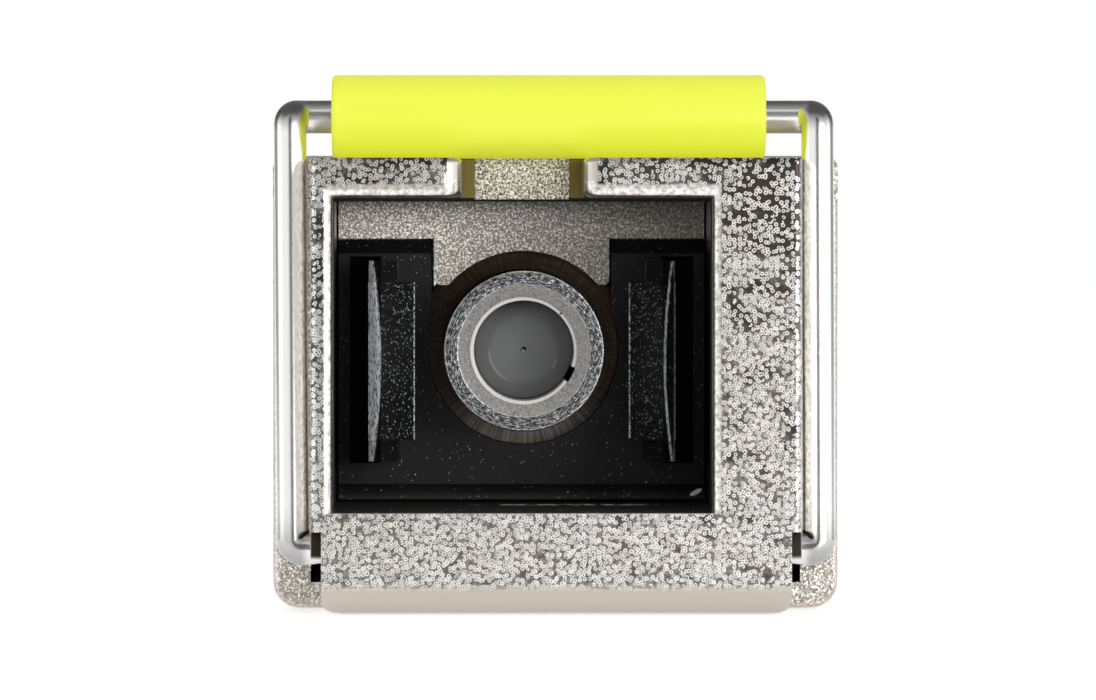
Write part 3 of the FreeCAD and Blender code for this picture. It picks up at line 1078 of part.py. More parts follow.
def make_bail():
    """Wire bail with its pivots, and the yellow sleeve on its bar."""
    body = doc.addObject("PartDesign::Body", "bail_bend")
    arm = worked_out(ARM_X)
    bar = worked_out(BAIL_REACH)
    bend = size("wire_bend")
    tip = worked_out(PIVOT_END)
    path = body.newObject("Sketcher::SketchObject", "bail_path")
    path.AttachmentSupport = [(origin_plane(body, "XZ_Plane"), "")]
    path.MapMode = "FlatFace"
    corners = [(-arm, 0), (-arm, bar), (arm, bar), (arm, 0)]
    stops = [(-tip, 0), *corners, (tip, 0)]
    turns = [(math.pi, 3 * math.pi / 2), (math.pi / 2, math.pi), (0, math.pi / 2), (-math.pi / 2, 0)]
    inward = [(1, 1), (1, -1), (-1, -1), (-1, 1)]
    for (x0, z0), (x1, z1) in zip(stops, stops[1:]):
        run = math.hypot(x1 - x0, z1 - z0)
        step_x, step_z = (x1 - x0) / run * bend, (z1 - z0) / run * bend
        first = (x0, z0) if (x0, z0) == stops[0] else (x0 + step_x, z0 + step_z)
        last = (x1, z1) if (x1, z1) == stops[-1] else (x1 - step_x, z1 - step_z)
        path.addGeometry(Part.LineSegment(FreeCAD.Vector(*first, 0), FreeCAD.Vector(*last, 0)), False)
    for (x, z), (across, rise), (start, finish) in zip(corners, inward, turns):
        centre = FreeCAD.Vector(x + across * bend, z + rise * bend, 0)
        circle = Part.Circle(centre, FreeCAD.Vector(0, 0, 1), bend)
        path.addGeometry(Part.ArcOfCircle(circle, start, finish), False)
    for number in range(4):
        arc = 5 + number
        path.addConstraint(Sketcher.Constraint("Tangent", number, 2, arc, 2))
        path.addConstraint(Sketcher.Constraint("Tangent", arc, 1, number + 1, 1))
        radius = path.addConstraint(Sketcher.Constraint("Radius", arc, bend))
        bind(path, f"Constraints[{radius}]", "wire_bend")
    for number in (0, 2, 4):
        path.addConstraint(Sketcher.Constraint("Horizontal", number))
    for number in (1, 3):
        path.addConstraint(Sketcher.Constraint("Vertical", number))
    for kind, line, end, value in (
            ("DistanceX", 0, 1, f"(-{PIVOT_END})"), ("DistanceY", 0, 1, "0"),
            ("DistanceX", 1, 1, f"(-{ARM_X})"), ("DistanceY", 2, 1, BAIL_REACH), ("DistanceX", 3, 1, ARM_X),
            ("DistanceX", 4, 2, PIVOT_END), ("DistanceY", 4, 2, "0")):
        number = path.addConstraint(Sketcher.Constraint(kind, -1, 1, line, end, 0.0))
        bind(path, f"Constraints[{number}]", value)
    section = body.newObject("Sketcher::SketchObject", "bail_section")
    section.AttachmentSupport = [(origin_plane(body, "YZ_Plane"), "")]
    section.MapMode = "FlatFace"
    bind(section, "AttachmentOffset.Base.z", f"(-{PIVOT_END})")
    ring = Part.Circle(FreeCAD.Vector(), FreeCAD.Vector(0, 0, 1), size("wire_radius"))
    section.addGeometry(ring, False)
    for constraint, value in ((Sketcher.Constraint("Radius", 0, size("wire_radius")), "wire_radius"),
                              (Sketcher.Constraint("DistanceX", -1, 1, 0, 3, 0.0), "0"),
                              (Sketcher.Constraint("DistanceY", -1, 1, 0, 3, 0.0), "0")):
        number = section.addConstraint(constraint)
        bind(section, f"Constraints[{number}]", value)
    doc.recompute()
    pipe = body.newObject("PartDesign::AdditivePipe", "bail_pipe")
    pipe.Profile = section
    pipe.Spine = (path, [f"Edge{number}" for number in range(1, 10)])
    lean = FreeCAD.Rotation(FreeCAD.Vector(-1, 0, 0), size("bail_lean"))
    place(body, "0", at("bail_pivot_depth"), "bail_pivot_height", lean)
    bind(body, "Placement.Rotation.Angle", "bail_lean")

    flats = []
    for side in SIDES:
        flats.append(deep_block(f"{side}_cam_flat", beside(side, "0", CAVITY_HALF),
                                both("overcut", "bail_pivot_depth"),
                                ("(bail_pivot_height - overcut)", "(bail_pivot_height - cam_flat)")))
    wire = cut("bail_wire", body, *flats)

    bore = "(wire_radius + fit_gap)"
    ends = both("(sleeve_length / 2)", "(-sleeve_offset)")
    sleeve = turned("sleeve_blank", [
        (bore, ends[0]), ("sleeve_radius", ends[0]), ("sleeve_radius", ends[1]), (bore, ends[1]),
    ], "0", at(BAIL_DEPTH), BAR_Z, DOWN_X)
    doc.recompute()
    outside = size("sleeve_radius")

    def sleeve_rims(edge):
        return isinstance(edge.Curve, Part.Circle) and abs(edge.Curve.Radius - outside) < 1e-6

    return [wire, round_edges("bail_sleeve", sleeve, (size("sleeve_end_round"), sleeve_rims))]


def make_latch():
    """Rocker with the latch boss, its pin and its spring."""
    bar = deep_block("lever_bar", both(f"({CAVITY_HALF} - lever_bar_gap)"),
                     (BAR_FRONT, BAR_REAR), (BAR_UNDER, BAR_TOP))
    hub_top = "(latch_pin_height + lever_hub)"
    hub = ("(latch_pin_depth - 2 * lever_hub)", "(latch_pin_depth - lever_hub)",
           "(latch_pin_depth + lever_hub)", "(latch_pin_depth + 2 * lever_hub)")
    ramp = f"({SPRING_DEPTH} - spring_radius - spring_room)"
    arm = side_padded("lever_arm", [
        (BAR_FRONT, BAR_UNDER), (f"({ramp} - lever_thickness)", BAR_UNDER), (ramp, LEVER_UNDER),
        (LEVER_END, LEVER_UNDER), (LEVER_END, LEVER_TOP), (hub[3], LEVER_TOP), (hub[2], hub_top),
        (hub[1], hub_top), (hub[0], BAR_TOP), (BAR_FRONT, BAR_TOP),
    ], both("(lever_width / 2)"))
    boss_under = f"({LEVER_UNDER} - boss_height)"
    boss = side_padded("latch_boss", [
        (SHOULDER, LEVER_TOP), (SHOULDER, boss_under), (f"({SHOULDER} + boss_land)", boss_under),
        (f"({SHOULDER} + boss_length)", LEVER_UNDER), (f"({SHOULDER} + boss_length)", LEVER_TOP),
    ], both("(boss_width / 2)"))
    pin_hole = cross_rod("lever_hole", "(latch_pin_radius + pivot_gap)", both("lever_width"),
                         "latch_pin_depth", "latch_pin_height")
    lever = cut("latch_lever", fuse("lever_solid", bar, arm, boss), pin_hole)

    pin = cross_rod("latch_pin", "latch_pin_radius",
                    (f"(-{CHANNEL_HALF} - latch_pin_seat + fit_gap)", f"({COLLAR_HALF} - latch_pin_inset)"),
                    "latch_pin_depth", "latch_pin_height")

    free_length = f"({SPRING_TOP} - {LEVER_TOP} - 2 * spring_wire - 2 * fit_gap)"
    helix = doc.addObject("Part::Helix", "spring_path")
    bind(helix, "Radius", "spring_radius")
    bind(helix, "Height", free_length)
    bind(helix, "Pitch", f"{free_length} / spring_turns")
    ring = doc.addObject("Part::Circle", "spring_section")
    bind(ring, "Radius", "spring_wire")
    place(ring, "spring_radius", "0", "0", DOWN_Y)
    spring = doc.addObject("Part::Sweep", "latch_spring")
    spring.Sections = [ring]
    spring.Spine = (helix, ["Edge1"])
    spring.Solid = True
    spring.Frenet = True
    place(spring, "0", at(SPRING_DEPTH), f"({LEVER_TOP} + spring_wire + fit_gap)")
    return [lever, pin, spring]


def write_parts(parts):
    """Check the document and every sub-part, then write one file to each."""
    doc.recompute()
    failed = [thing.Label for thing in doc.Objects if {"Invalid", "Error"} & set(thing.State)]
    if failed:
        raise RuntimeError("features failed: " + ", ".join(failed))
    for part in parts:
        if part.Shape.isNull() or not part.Shape.isValid() or not part.Shape.Solids:
            raise RuntimeError("bad shape: " + part.Label)
    os.makedirs("parts", exist_ok=True)
    for part in parts:
        part.Shape.exportStep(os.path.join("parts", part.Label + ".step"))
        print(f"{part.Label}: {len(part.Shape.Solids)} solids, {part.Shape.Volume:.3f} mm3")


write_parts([
    make_lower_housing(),
    make_upper_housing(),
    make_housing_screws(),
    make_plug_latch_frame(),
    *make_receptacle(),
    *make_optics(),
    *make_board(),
    *make_bail(),
    *make_latch(),
])
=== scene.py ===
"""Looks of a single-fibre pluggable transceiver: stage, finishes and finely turned pieces."""

import math

import bmesh
import bpy
import numpy as np
from bpy.props import FloatProperty, FloatVectorProperty, IntProperty, PointerProperty
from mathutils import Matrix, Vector


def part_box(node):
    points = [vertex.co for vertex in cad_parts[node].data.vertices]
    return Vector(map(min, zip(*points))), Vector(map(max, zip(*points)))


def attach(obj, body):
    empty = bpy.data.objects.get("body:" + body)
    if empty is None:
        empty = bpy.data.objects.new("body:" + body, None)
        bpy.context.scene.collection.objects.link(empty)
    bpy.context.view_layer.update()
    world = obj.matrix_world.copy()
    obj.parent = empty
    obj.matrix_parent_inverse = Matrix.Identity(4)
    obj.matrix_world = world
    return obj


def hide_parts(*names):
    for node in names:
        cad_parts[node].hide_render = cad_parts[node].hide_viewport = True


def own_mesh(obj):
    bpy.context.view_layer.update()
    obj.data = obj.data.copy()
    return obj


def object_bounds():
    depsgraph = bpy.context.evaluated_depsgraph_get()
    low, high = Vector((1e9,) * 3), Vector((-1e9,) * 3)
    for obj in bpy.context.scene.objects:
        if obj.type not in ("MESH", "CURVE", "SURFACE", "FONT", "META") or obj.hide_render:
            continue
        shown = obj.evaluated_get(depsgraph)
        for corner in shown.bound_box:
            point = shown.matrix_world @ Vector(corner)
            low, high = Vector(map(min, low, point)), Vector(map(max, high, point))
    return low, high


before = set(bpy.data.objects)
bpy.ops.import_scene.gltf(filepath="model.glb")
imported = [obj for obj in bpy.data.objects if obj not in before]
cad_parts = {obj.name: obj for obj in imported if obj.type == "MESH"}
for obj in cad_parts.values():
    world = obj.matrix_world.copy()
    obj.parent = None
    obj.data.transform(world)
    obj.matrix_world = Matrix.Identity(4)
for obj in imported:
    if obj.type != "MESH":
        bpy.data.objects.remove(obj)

bl_info = {
    "name": "Pluggable transceiver looks",
    "version": (1, 0, 0),
    "blender": (4, 5, 0),
    "location": "3D View > Sidebar > Transceiver",
    "description": "Stage, finishes and turned pieces of a single-fibre pluggable transceiver",
    "category": "Object",
}


def halfway(first, second):
    """Middle of two numbers."""
    return (first + second) / 2


MM = 0.001
FULL_TURN = 2 * math.pi
MERGE_DISTANCE = 1e-8
CAD_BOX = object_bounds()
FACE_Y = CAD_BOX[0][1]
TUBE_LOW, TUBE_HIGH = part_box("receptacle_shell")
PORT_AXIS = (halfway(TUBE_LOW.x, TUBE_HIGH.x), halfway(TUBE_LOW.z, TUBE_HIGH.z))
PORT_X = halfway(*(corner.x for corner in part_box("plug_latch_frame")))


# Node helpers. The scale of a pattern counts its cells or waves to the metre.

def put(tree, socket, value):
    """Link a socket to a node's output, or set its value."""
    if isinstance(value, bpy.types.NodeSocket):
        tree.links.new(value, socket)
    else:
        socket.default_value = value


def node(tree, kind, inputs=None, **settings):
    """Add a node, set its options, then set or link its inputs by name or number."""
    made = tree.nodes.new(kind)
    for name, value in settings.items():
        setattr(made, name, value)
    for key, value in (inputs or {}).items():
        put(tree, made.inputs[key], value)
    return made


def calc(tree, operation, first, second=0.0, clamp=False):
    """Result of a sum on two values."""
    made = node(tree, "ShaderNodeMath", {0: first, 1: second}, operation=operation, use_clamp=clamp)
    return made.outputs[0]


def product(tree, first, *others):
    """All values multiplied."""
    for other in others:
        first = calc(tree, "MULTIPLY", first, other)
    return first


def most(tree, first, *others):
    """The largest of the values."""
    for other in others:
        first = calc(tree, "MAXIMUM", first, other)
    return first


def opposite(tree, share):
    """What a share leaves of 1."""
    return calc(tree, "SUBTRACT", 1.0, share)


def away(tree, value, middle=0.0):
    """Distance of a value from a middle."""
    return calc(tree, "ABSOLUTE", calc(tree, "SUBTRACT", value, middle))


def squares(tree, first, second):
    """Sum of two squares."""
    return calc(tree, "ADD", product(tree, first, first), product(tree, second, second))


def soft_step(tree, value, low, high):
    """Rise from 0 to 1 while a value goes from low to high, or fall where low is the larger."""
    if low > high:
        return opposite(tree, soft_step(tree, value, high, low))
    made = node(tree, "ShaderNodeMapRange", {"Value": value, "From Min": low, "From Max": high},
                interpolation_type="SMOOTHSTEP")
    return made.outputs["Result"]


def region(tree, spot, *bounds):
    """1 inside a box. Each bound names a coordinate, its lowest and highest value and its edge's softness."""
    masks = []
    for name, low, high, edge in bounds:
        if low is not None:
            masks.append(soft_step(tree, spot[name], low - edge, low + edge))
        if high is not None:
            masks.append(soft_step(tree, spot[name], high + edge, high - edge))
    return product(tree, *masks)


def spread(tree, value, low, high):
    """Stretch a value of 0 to 1 over a range."""
    made = node(tree, "ShaderNodeMapRange", {"Value": value, "To Min": low, "To Max": high})
    return made.outputs["Result"]


def tint(tree, share, first, second):
    """Blend of two colours."""
    return node(tree, "ShaderNodeMix", {0: share, 6: first, 7: second}, data_type="RGBA").outputs[2]


def noise(tree, vector, scale, detail=2.0, rough=0.5):
    """Cloudy value between 0 and 1."""
    inputs = {"Vector": vector, "Scale": scale, "Detail": detail, "Roughness": rough}
    return node(tree, "ShaderNodeTexNoise", inputs).outputs["Fac"]


def cells(tree, vector, scale, dimensions="3D"):
    """Distance to the nearest of many scattered points, and that point's random value."""
    made = node(tree, "ShaderNodeTexVoronoi", {"Vector": vector, "Scale": scale},
                voronoi_dimensions=dimensions)
    draw = node(tree, "ShaderNodeSeparateColor", {"Color": made.outputs["Color"]})
    return made.outputs["Distance"], draw.outputs["Red"]


def vector_calc(tree, operation, first, second=(0.0, 0.0, 0.0)):
    """Result of a sum on two vectors."""
    return node(tree, "ShaderNodeVectorMath", {0: first, 1: second}, operation=operation).outputs[0]


def parts_of(tree, vector):
    """The three coordinates of a vector."""
    return tuple(node(tree, "ShaderNodeSeparateXYZ", {0: vector}).outputs)


def joined(tree, x, y, z=0.0):
    """A vector from three coordinates."""
    return node(tree, "ShaderNodeCombineXYZ", {0: x, 1: y, 2: z}).outputs[0]


def relief(tree, height, strength, depth):
    """Normal of a bump, whose depth is in millimetres."""
    made = node(tree, "ShaderNodeBump", {"Height": height, "Strength": strength, "Distance": depth * MM})
    return made.outputs["Normal"]


def about_port(tree, where):
    """Coordinates with the port's axis as the Y axis."""
    return vector_calc(tree, "ADD", where, (-PORT_AXIS[0], 0.0, -PORT_AXIS[1]))


def round_axis(tree, vector):
    """Distance from the Y axis, place along it and angle about it."""
    x, y, z = parts_of(tree, vector)
    return calc(tree, "SQRT", squares(tree, x, z)), y, calc(tree, "ARCTAN2", z, x)


def spot_of(tree, where):
    """Coordinates for masks in millimetres.

    They are x, z, the depth behind the front face, and how far x lies out from the middle plane, called wide,
    and from the port's middle, called out.
    """
    x, y, z = parts_of(tree, where)
    spot = {"x": x, "z": z, "depth": calc(tree, "SUBTRACT", y, FACE_Y),
            "wide": away(tree, x), "out": away(tree, x, PORT_X)}
    return {name: product(tree, value, 1 / MM) for name, value in spot.items()}


def facing_of(tree):
    """How far a face looks to a side, to the front and up, each 1 at most."""
    x, y, z = parts_of(tree, node(tree, "ShaderNodeNewGeometry").outputs["Normal"])
    return {"side": away(tree, x), "front": product(tree, y, -1.0), "up": z}


def leaning_ellipse(tree, spot, middle, lean, half):
    """0 in the middle of an ellipse across the front and 1 on its edge, with the lean in degrees."""
    across = calc(tree, "SUBTRACT", spot["x"], middle[0])
    up = calc(tree, "SUBTRACT", spot["z"], middle[1])
    cosine = math.cos(math.radians(lean))
    sine = math.sin(math.radians(lean))
    along = calc(tree, "ADD", product(tree, across, cosine), product(tree, up, sine))
    over = calc(tree, "SUBTRACT", product(tree, up, cosine), product(tree, across, sine))
    return squares(tree, product(tree, along, 1 / half[0]), product(tree, over, 1 / half[1]))


# Effects that several materials use

def new_group(name, inputs, outputs):
    """Empty effect group with named sockets: places and normals are vectors, the others are values."""
    tree = bpy.data.node_groups.new(name, "ShaderNodeTree")
    for side, titles in (("INPUT", inputs), ("OUTPUT", outputs)):
        for title in titles:
            kind = "NodeSocketVector" if title in ("Vector", "Normal") else "NodeSocketFloat"
            tree.interface.new_socket(title, in_out=side, socket_type=kind)
    return tree, node(tree, "NodeGroupInput").outputs, node(tree, "NodeGroupOutput").inputs


def effect(tree, name, **inputs):
    """Place an effect group in a material."""
    group = bpy.data.node_groups.get(name) or EFFECTS[name](name)
    return node(tree, "ShaderNodeGroup", inputs, node_tree=group).outputs


def make_grain(name):
    """Fine grain of a blasted or moulded skin: a coarse cloud and a weaker fine one give the height."""
    tree, given, wanted = new_group(name, ("Vector", "Scale"), ("Height",))
    coarse = noise(tree, given["Vector"], given["Scale"], 2.0, 0.6)
    fine = noise(tree, given["Vector"], product(tree, given["Scale"], 2.6), 1.0, 0.5)
    put(tree, wanted["Height"], calc(tree, "ADD", product(tree, coarse, 0.7), product(tree, fine, 0.3)))
    return tree


def make_rings(name):
    """Small bright rings with a dark middle, scattered in two layers that lie over each other: painted
    glints, each drawn like an out-of-focus highlight.
    """
    tree, given, wanted = new_group(name, ("Vector", "Scale", "Amount"), ("Rings",))
    layers = []
    for shift, share in ((0.0, 1.0), (0.0137, 1.08)):
        place = vector_calc(tree, "ADD", given["Vector"], (shift, -shift, 0.0))
        distance, draw = cells(tree, place, product(tree, given["Scale"], share), "2D")
        layers.append(product(
            tree, soft_step(tree, distance, 0.48, 0.36), soft_step(tree, distance, 0.08, 0.24),
            calc(tree, "LESS_THAN", draw, given["Amount"]), spread(tree, draw, 1.0, 0.4)))
    put(tree, wanted["Rings"], most(tree, *layers))
    return tree


def make_turning(name):
    """Lathe lines: a cloud drawn out along circles about the Y axis, and broken scratches."""
    tree, given, wanted = new_group(name, ("Vector", "Scale"), ("Lines", "Scratches"))
    radius, y, angle = round_axis(tree, given["Vector"])
    along = product(tree, y, given["Scale"])
    rolled = joined(tree, product(tree, radius, given["Scale"]), along, product(tree, angle, 3.0))
    put(tree, wanted["Lines"], noise(tree, rolled, 1.0, 3.0, 0.6))
    torn = joined(tree, product(tree, radius, given["Scale"], 0.7), along, product(tree, angle, 11.0))
    put(tree, wanted["Scratches"], soft_step(tree, noise(tree, torn, 1.0, 2.0, 0.7), 0.55, 0.7))
    return tree


def make_facets(name):
    """Blasted metal: each small cell is a facet with a tone and a lean of its own."""
    tree, given, wanted = new_group(name, ("Vector", "Scale", "Lean"), ("Tone", "Normal"))
    inputs = {"Vector": given["Vector"], "Scale": given["Scale"]}
    draw = node(tree, "ShaderNodeTexVoronoi", inputs).outputs["Color"]
    centred = vector_calc(tree, "SUBTRACT", draw, (0.5, 0.5, 0.5))
    leaning = vector_calc(tree, "MULTIPLY", centred, given["Lean"])
    upright = node(tree, "ShaderNodeNewGeometry").outputs["Normal"]
    put(tree, wanted["Normal"], vector_calc(tree, "NORMALIZE", vector_calc(tree, "ADD", upright, leaning)))
    put(tree, wanted["Tone"], node(tree, "ShaderNodeSeparateColor", {"Color": draw}).outputs["Blue"])
    return tree


def make_dust(name):
    """Loose specks: a few of many scattered cells, each a small dot, in two sizes."""
    tree, given, wanted = new_group(name, ("Vector", "Scale", "Amount"), ("Specks",))
    limit = opposite(tree, given["Amount"])
    layers = []
    for share, size in ((1.0, 0.2), (2.3, 0.3)):
        distance, draw = cells(tree, given["Vector"], product(tree, given["Scale"], share))
        layers.append(product(tree, calc(tree, "GREATER_THAN", draw, limit),
                              soft_step(tree, distance, size, size / 3)))
    put(tree, wanted["Specks"], most(tree, *layers))
    return tree


EFFECTS = {"Skin grain": make_grain, "Bright rings": make_rings, "Turning lines": make_turning,
           "Loose dust": make_dust, "Blasted facets": make_facets}


# Finishes

def bare_material(name):
    """Material with no nodes, and its tree."""
    material = bpy.data.materials.new(name)
    material.use_nodes = True
    material.node_tree.nodes.clear()
    return material, material.node_tree


def new_material(name):
    """Material with one shader; gives the tree, the shader and the object coordinates as well."""
    material, tree = bare_material(name)
    shader = node(tree, "ShaderNodeBsdfPrincipled")
    node(tree, "ShaderNodeOutputMaterial", {"Surface": shader.outputs[0]})
    where = node(tree, "ShaderNodeTexCoord").outputs["Object"]
    return material, tree, shader, where


def feed(tree, shader, **inputs):
    """Set or link the shader's sockets; underscores in the names stand for spaces."""
    for key, value in inputs.items():
        put(tree, shader.inputs[key.replace("_", " ")], value)


def solid(colour, dim=1.0):
    """Colour as four numbers, dimmed by a factor."""
    return (colour[0] * dim, colour[1] * dim, colour[2] * dim, 1.0)


def satin_metal(name, colour, roughness, grains, bump=0.15):
    """Stamped or plated metal: faint clouds in the colour and the gloss, fine grain in the relief."""
    material, tree, shader, where = new_material(name)
    clouds = noise(tree, where, 900.0, 4.0, 0.6)
    grain = effect(tree, "Skin grain", Vector=where, Scale=grains)["Height"]
    feed(tree, shader, Metallic=1.0,
         Base_Color=tint(tree, clouds, solid(colour, 0.82), solid(colour)),
         Roughness=spread(tree, clouds, roughness * 0.75, roughness * 1.3),
         Normal=relief(tree, grain, bump, 0.01))
    return material


def turned_metal(name, colour, dark, roughness, lines):
    """Metal from a lathe: lines about the port's axis in colour, gloss and relief, with bright scratches."""
    material, tree, shader, where = new_material(name)
    turning = effect(tree, "Turning lines", Vector=about_port(tree, where), Scale=lines)
    ridges = soft_step(tree, turning["Lines"], 0.3, 0.7)
    body = tint(tree, ridges, solid(dark), solid(colour))
    feed(tree, shader, Metallic=1.0,
         Base_Color=tint(tree, product(tree, turning["Scratches"], 0.5), body, solid(colour)),
         Roughness=spread(tree, ridges, roughness * 1.4, roughness * 0.8),
         Normal=relief(tree, turning["Lines"], 0.35, 0.012))
    return material


def moulded_plastic(name, colour, roughness, grains, dust, bump=0.2):
    """Moulded plastic: slight clouds in the colour, a fine skin, and pale dust lying on it."""
    material, tree, shader, where = new_material(name)
    clouds = noise(tree, where, 700.0, 3.0, 0.6)
    grain = effect(tree, "Skin grain", Vector=where, Scale=grains)["Height"]
    specks = effect(tree, "Loose dust", Vector=where, Scale=grains * 0.35, Amount=dust)["Specks"]
    body = tint(tree, clouds, solid(colour, 0.8), solid(colour, 1.15))
    pale = (0.55, 0.55, 0.53, 1.0)
    feed(tree, shader, Base_Color=tint(tree, specks, body, pale),
         Roughness=most(tree, spread(tree, clouds, roughness * 0.85, roughness * 1.2), specks),
         Normal=relief(tree, grain, bump, 0.012))
    return material


def fired_ceramic(name, colour, shade, roughness, mark=None):
    """Fired ceramic: warm and cool clouds with a very fine tooth; a mark changes the colour in places."""
    material, tree, shader, where = new_material(name)
    clouds = noise(tree, where, 1500.0, 4.0, 0.65)
    tooth = effect(tree, "Skin grain", Vector=where, Scale=26000.0)["Height"]
    skin = tint(tree, clouds, solid(shade), solid(colour))
    feed(tree, shader, Base_Color=mark(tree, where, skin) if mark else skin,
         Roughness=spread(tree, clouds, roughness * 0.8, roughness * 1.2),
         Normal=relief(tree, tooth, 0.08, 0.01))
    return material


def clear_glass(name, colour):
    """Clear glass with a faintly uneven polish."""
    material, tree, shader, where = new_material(name)
    feed(tree, shader, Base_Color=solid(colour), Transmission_Weight=1.0, IOR=1.5,
         Roughness=spread(tree, noise(tree, where, 3000.0), 0.01, 0.06))
    return material


def dress(material, *nodes):
    """Give CAD nodes a finish through their material slots."""
    for name in nodes:
        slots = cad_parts[name].material_slots
        if not slots:
            raise RuntimeError("no material slot on " + name)
        for place in slots:
            place.material = material


def stand_for(piece, body, replaced):
    """Let a new piece move with a body and stand for a CAD node, which is hidden."""
    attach(piece, body)
    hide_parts(replaced)


# Surfaces

def surface(name, points, material, sharp, uv=None):
    """Mesh from a grid of points: quads between neighbours, closed across the columns.

    The points have the shape (rows, columns, 3). Rows that shrink to one point make closed poles, because
    points in the same place are merged afterwards. Normals are then turned outwards, and edges sharper than
    an angle in degrees stay sharp. A UV map takes one coordinate from the rows and one from the columns.
    """
    rows, columns = points.shape[:2]
    first = np.arange(rows - 1)[:, None] * columns
    step = np.arange(columns)
    ahead = (step + 1) % columns
    quads = np.stack([first + step, first + ahead, first + columns + ahead, first + columns + step], -1)
    mesh = bpy.data.meshes.new(name)
    mesh.from_pydata(points.reshape(-1, 3), [], quads.reshape(-1, 4))
    if uv is not None:
        near, far = slice(None, -1), slice(1, None)
        corners = [np.stack(np.broadcast_arrays(uv[0][rise, None], uv[1][turn]), -1)
                   for rise, turn in ((near, near), (near, far), (far, far), (far, near))]
        layer = mesh.uv_layers.new(name="UVMap")
        layer.data.foreach_set("uv", np.stack(corners, 2).astype(np.float32).ravel())
    weld(mesh)
    mesh.shade_smooth()
    mesh.set_sharp_from_angle(angle=math.radians(sharp))
    mesh.materials.append(material)
    piece = bpy.data.objects.new(name, mesh)
    bpy.context.scene.collection.objects.link(piece)
    return piece


def weld(mesh):
    """Merge points in one place, drop faces without area and turn the rest outwards."""
    work = bmesh.new()
    work.from_mesh(mesh)
    bmesh.ops.remove_doubles(work, verts=work.verts, dist=MERGE_DISTANCE)
    bmesh.ops.dissolve_degenerate(work, edges=work.edges, dist=MERGE_DISTANCE / 10)
    bmesh.ops.recalc_face_normals(work, faces=work.faces)
    work.to_mesh(mesh)
    work.free()


def unit(rows):
    """Rows of coordinates, each scaled to length 1."""
    return rows / np.linalg.norm(rows, axis=1, keepdims=True)


def rounded_profile(corners, radius, steps=5):
    """Corners of a closed profile, each replaced by a short quadratic curve.

    A corner P with neighbours A and B becomes (1-t)^2 P0 + 2t(1-t) P + t^2 P1, with P0 and P1 on the sides
    at the given distance from P, or near the middle of a side that is too short for it.
    """
    corner = np.asarray(corners, float)
    reach = np.broadcast_to(np.asarray(radius, float), (len(corner),))[:, None]
    ends = []
    for neighbour in (1, -1):
        side = np.roll(corner, neighbour, 0) - corner
        side_length = np.linalg.norm(side, axis=1, keepdims=True)
        ends.append((corner + side / side_length * np.minimum(reach, side_length * 0.45))[:, None])
    t = np.linspace(0.0, 1.0, steps)[None, :, None]
    curve = (1 - t) ** 2 * ends[0] + 2 * t * (1 - t) * corner[:, None] + t ** 2 * ends[1]
    return curve.reshape(-1, 2)


def carried_round(profile, segments):
    """Closed profile of radius r and place p carried once round: r cos a, r sin a and p."""
    closed = np.vstack([profile, profile[:1]])
    angle = np.linspace(0.0, FULL_TURN, segments, endpoint=False)
    r, place = closed[:, 0, None], closed[:, 1, None]
    return np.broadcast_arrays(r * np.cos(angle), r * np.sin(angle), place)


def turned_ring(name, corners, radius, material):
    """Closed profile of radius and depth, in millimetres, turned once about the port's axis.

    A point at radius r, depth y and angle a lies at (x0 + r cos a, y, z0 + r sin a).
    """
    profile = rounded_profile(np.asarray(corners) * MM, np.asarray(radius) * MM)
    across, up, depth = carried_round(profile, 160)
    points = np.stack([PORT_AXIS[0] + across, depth, PORT_AXIS[1] + up], -1)
    return surface(name, points, material, sharp=40)


def round_path(path, out, other, thick, sides):
    """Round a path point P lie P + r (n cos b + m sin b), with n and m at right angles to the path."""
    angle = np.linspace(0.0, FULL_TURN, sides, endpoint=False)[:, None]
    circle = out[:, None] * np.cos(angle) + other[:, None] * np.sin(angle)
    return path[:, None] + thick[:, None] * circle


# Settings

def colour_setting(name, description, *default):
    """Setting for a colour."""
    return FloatVectorProperty(name=name, description=description, subtype="COLOR", default=default)


def length_setting(name, description, millimetres):
    """Setting for a length."""
    return FloatProperty(name=name, description=description, unit="LENGTH", default=millimetres * MM)


def point_setting(name, description, x, y, z):
    """Setting for a place, in millimetres from the middle plane, behind the front face and over the floor."""
    return FloatVectorProperty(name=name, description=description, subtype="TRANSLATION", unit="LENGTH",
                               default=(x * MM, FACE_Y + y * MM, z * MM))


def power_setting(name, description, watts):
    """Setting for a lamp's power."""
    return FloatProperty(name=name, description=description, unit="POWER", default=watts)


def plain_setting(name, description, default):
    """Setting for a bare number."""
    return FloatProperty(name=name, description=description, default=default)


class StageSettings(bpy.types.PropertyGroup):
    """Camera, light and floor."""
    eye: point_setting("Eye", "Where the camera stands", -1.355, -185.0, 7.77)
    aim: point_setting("Aim", "Point that the camera looks at", -0.204, 0.0, 6.33)
    lens: FloatProperty(name="Lens", description="Focal length in millimetres", default=253.4, unit="CAMERA")
    floor: colour_setting("Floor", "Colour of the floor", 0.8, 0.8, 0.8)
    floor_glow: plain_setting("Floor glow", "What the floor adds where it is seen", 0.55)
    sky: plain_setting("Sky", "Level of the light from all round", 0.8)
    key: power_setting("Key", "Power of the tall lamp at the front right", 1.0)
    fill: power_setting("Fill", "Power of the low lamp in front", 2.6)


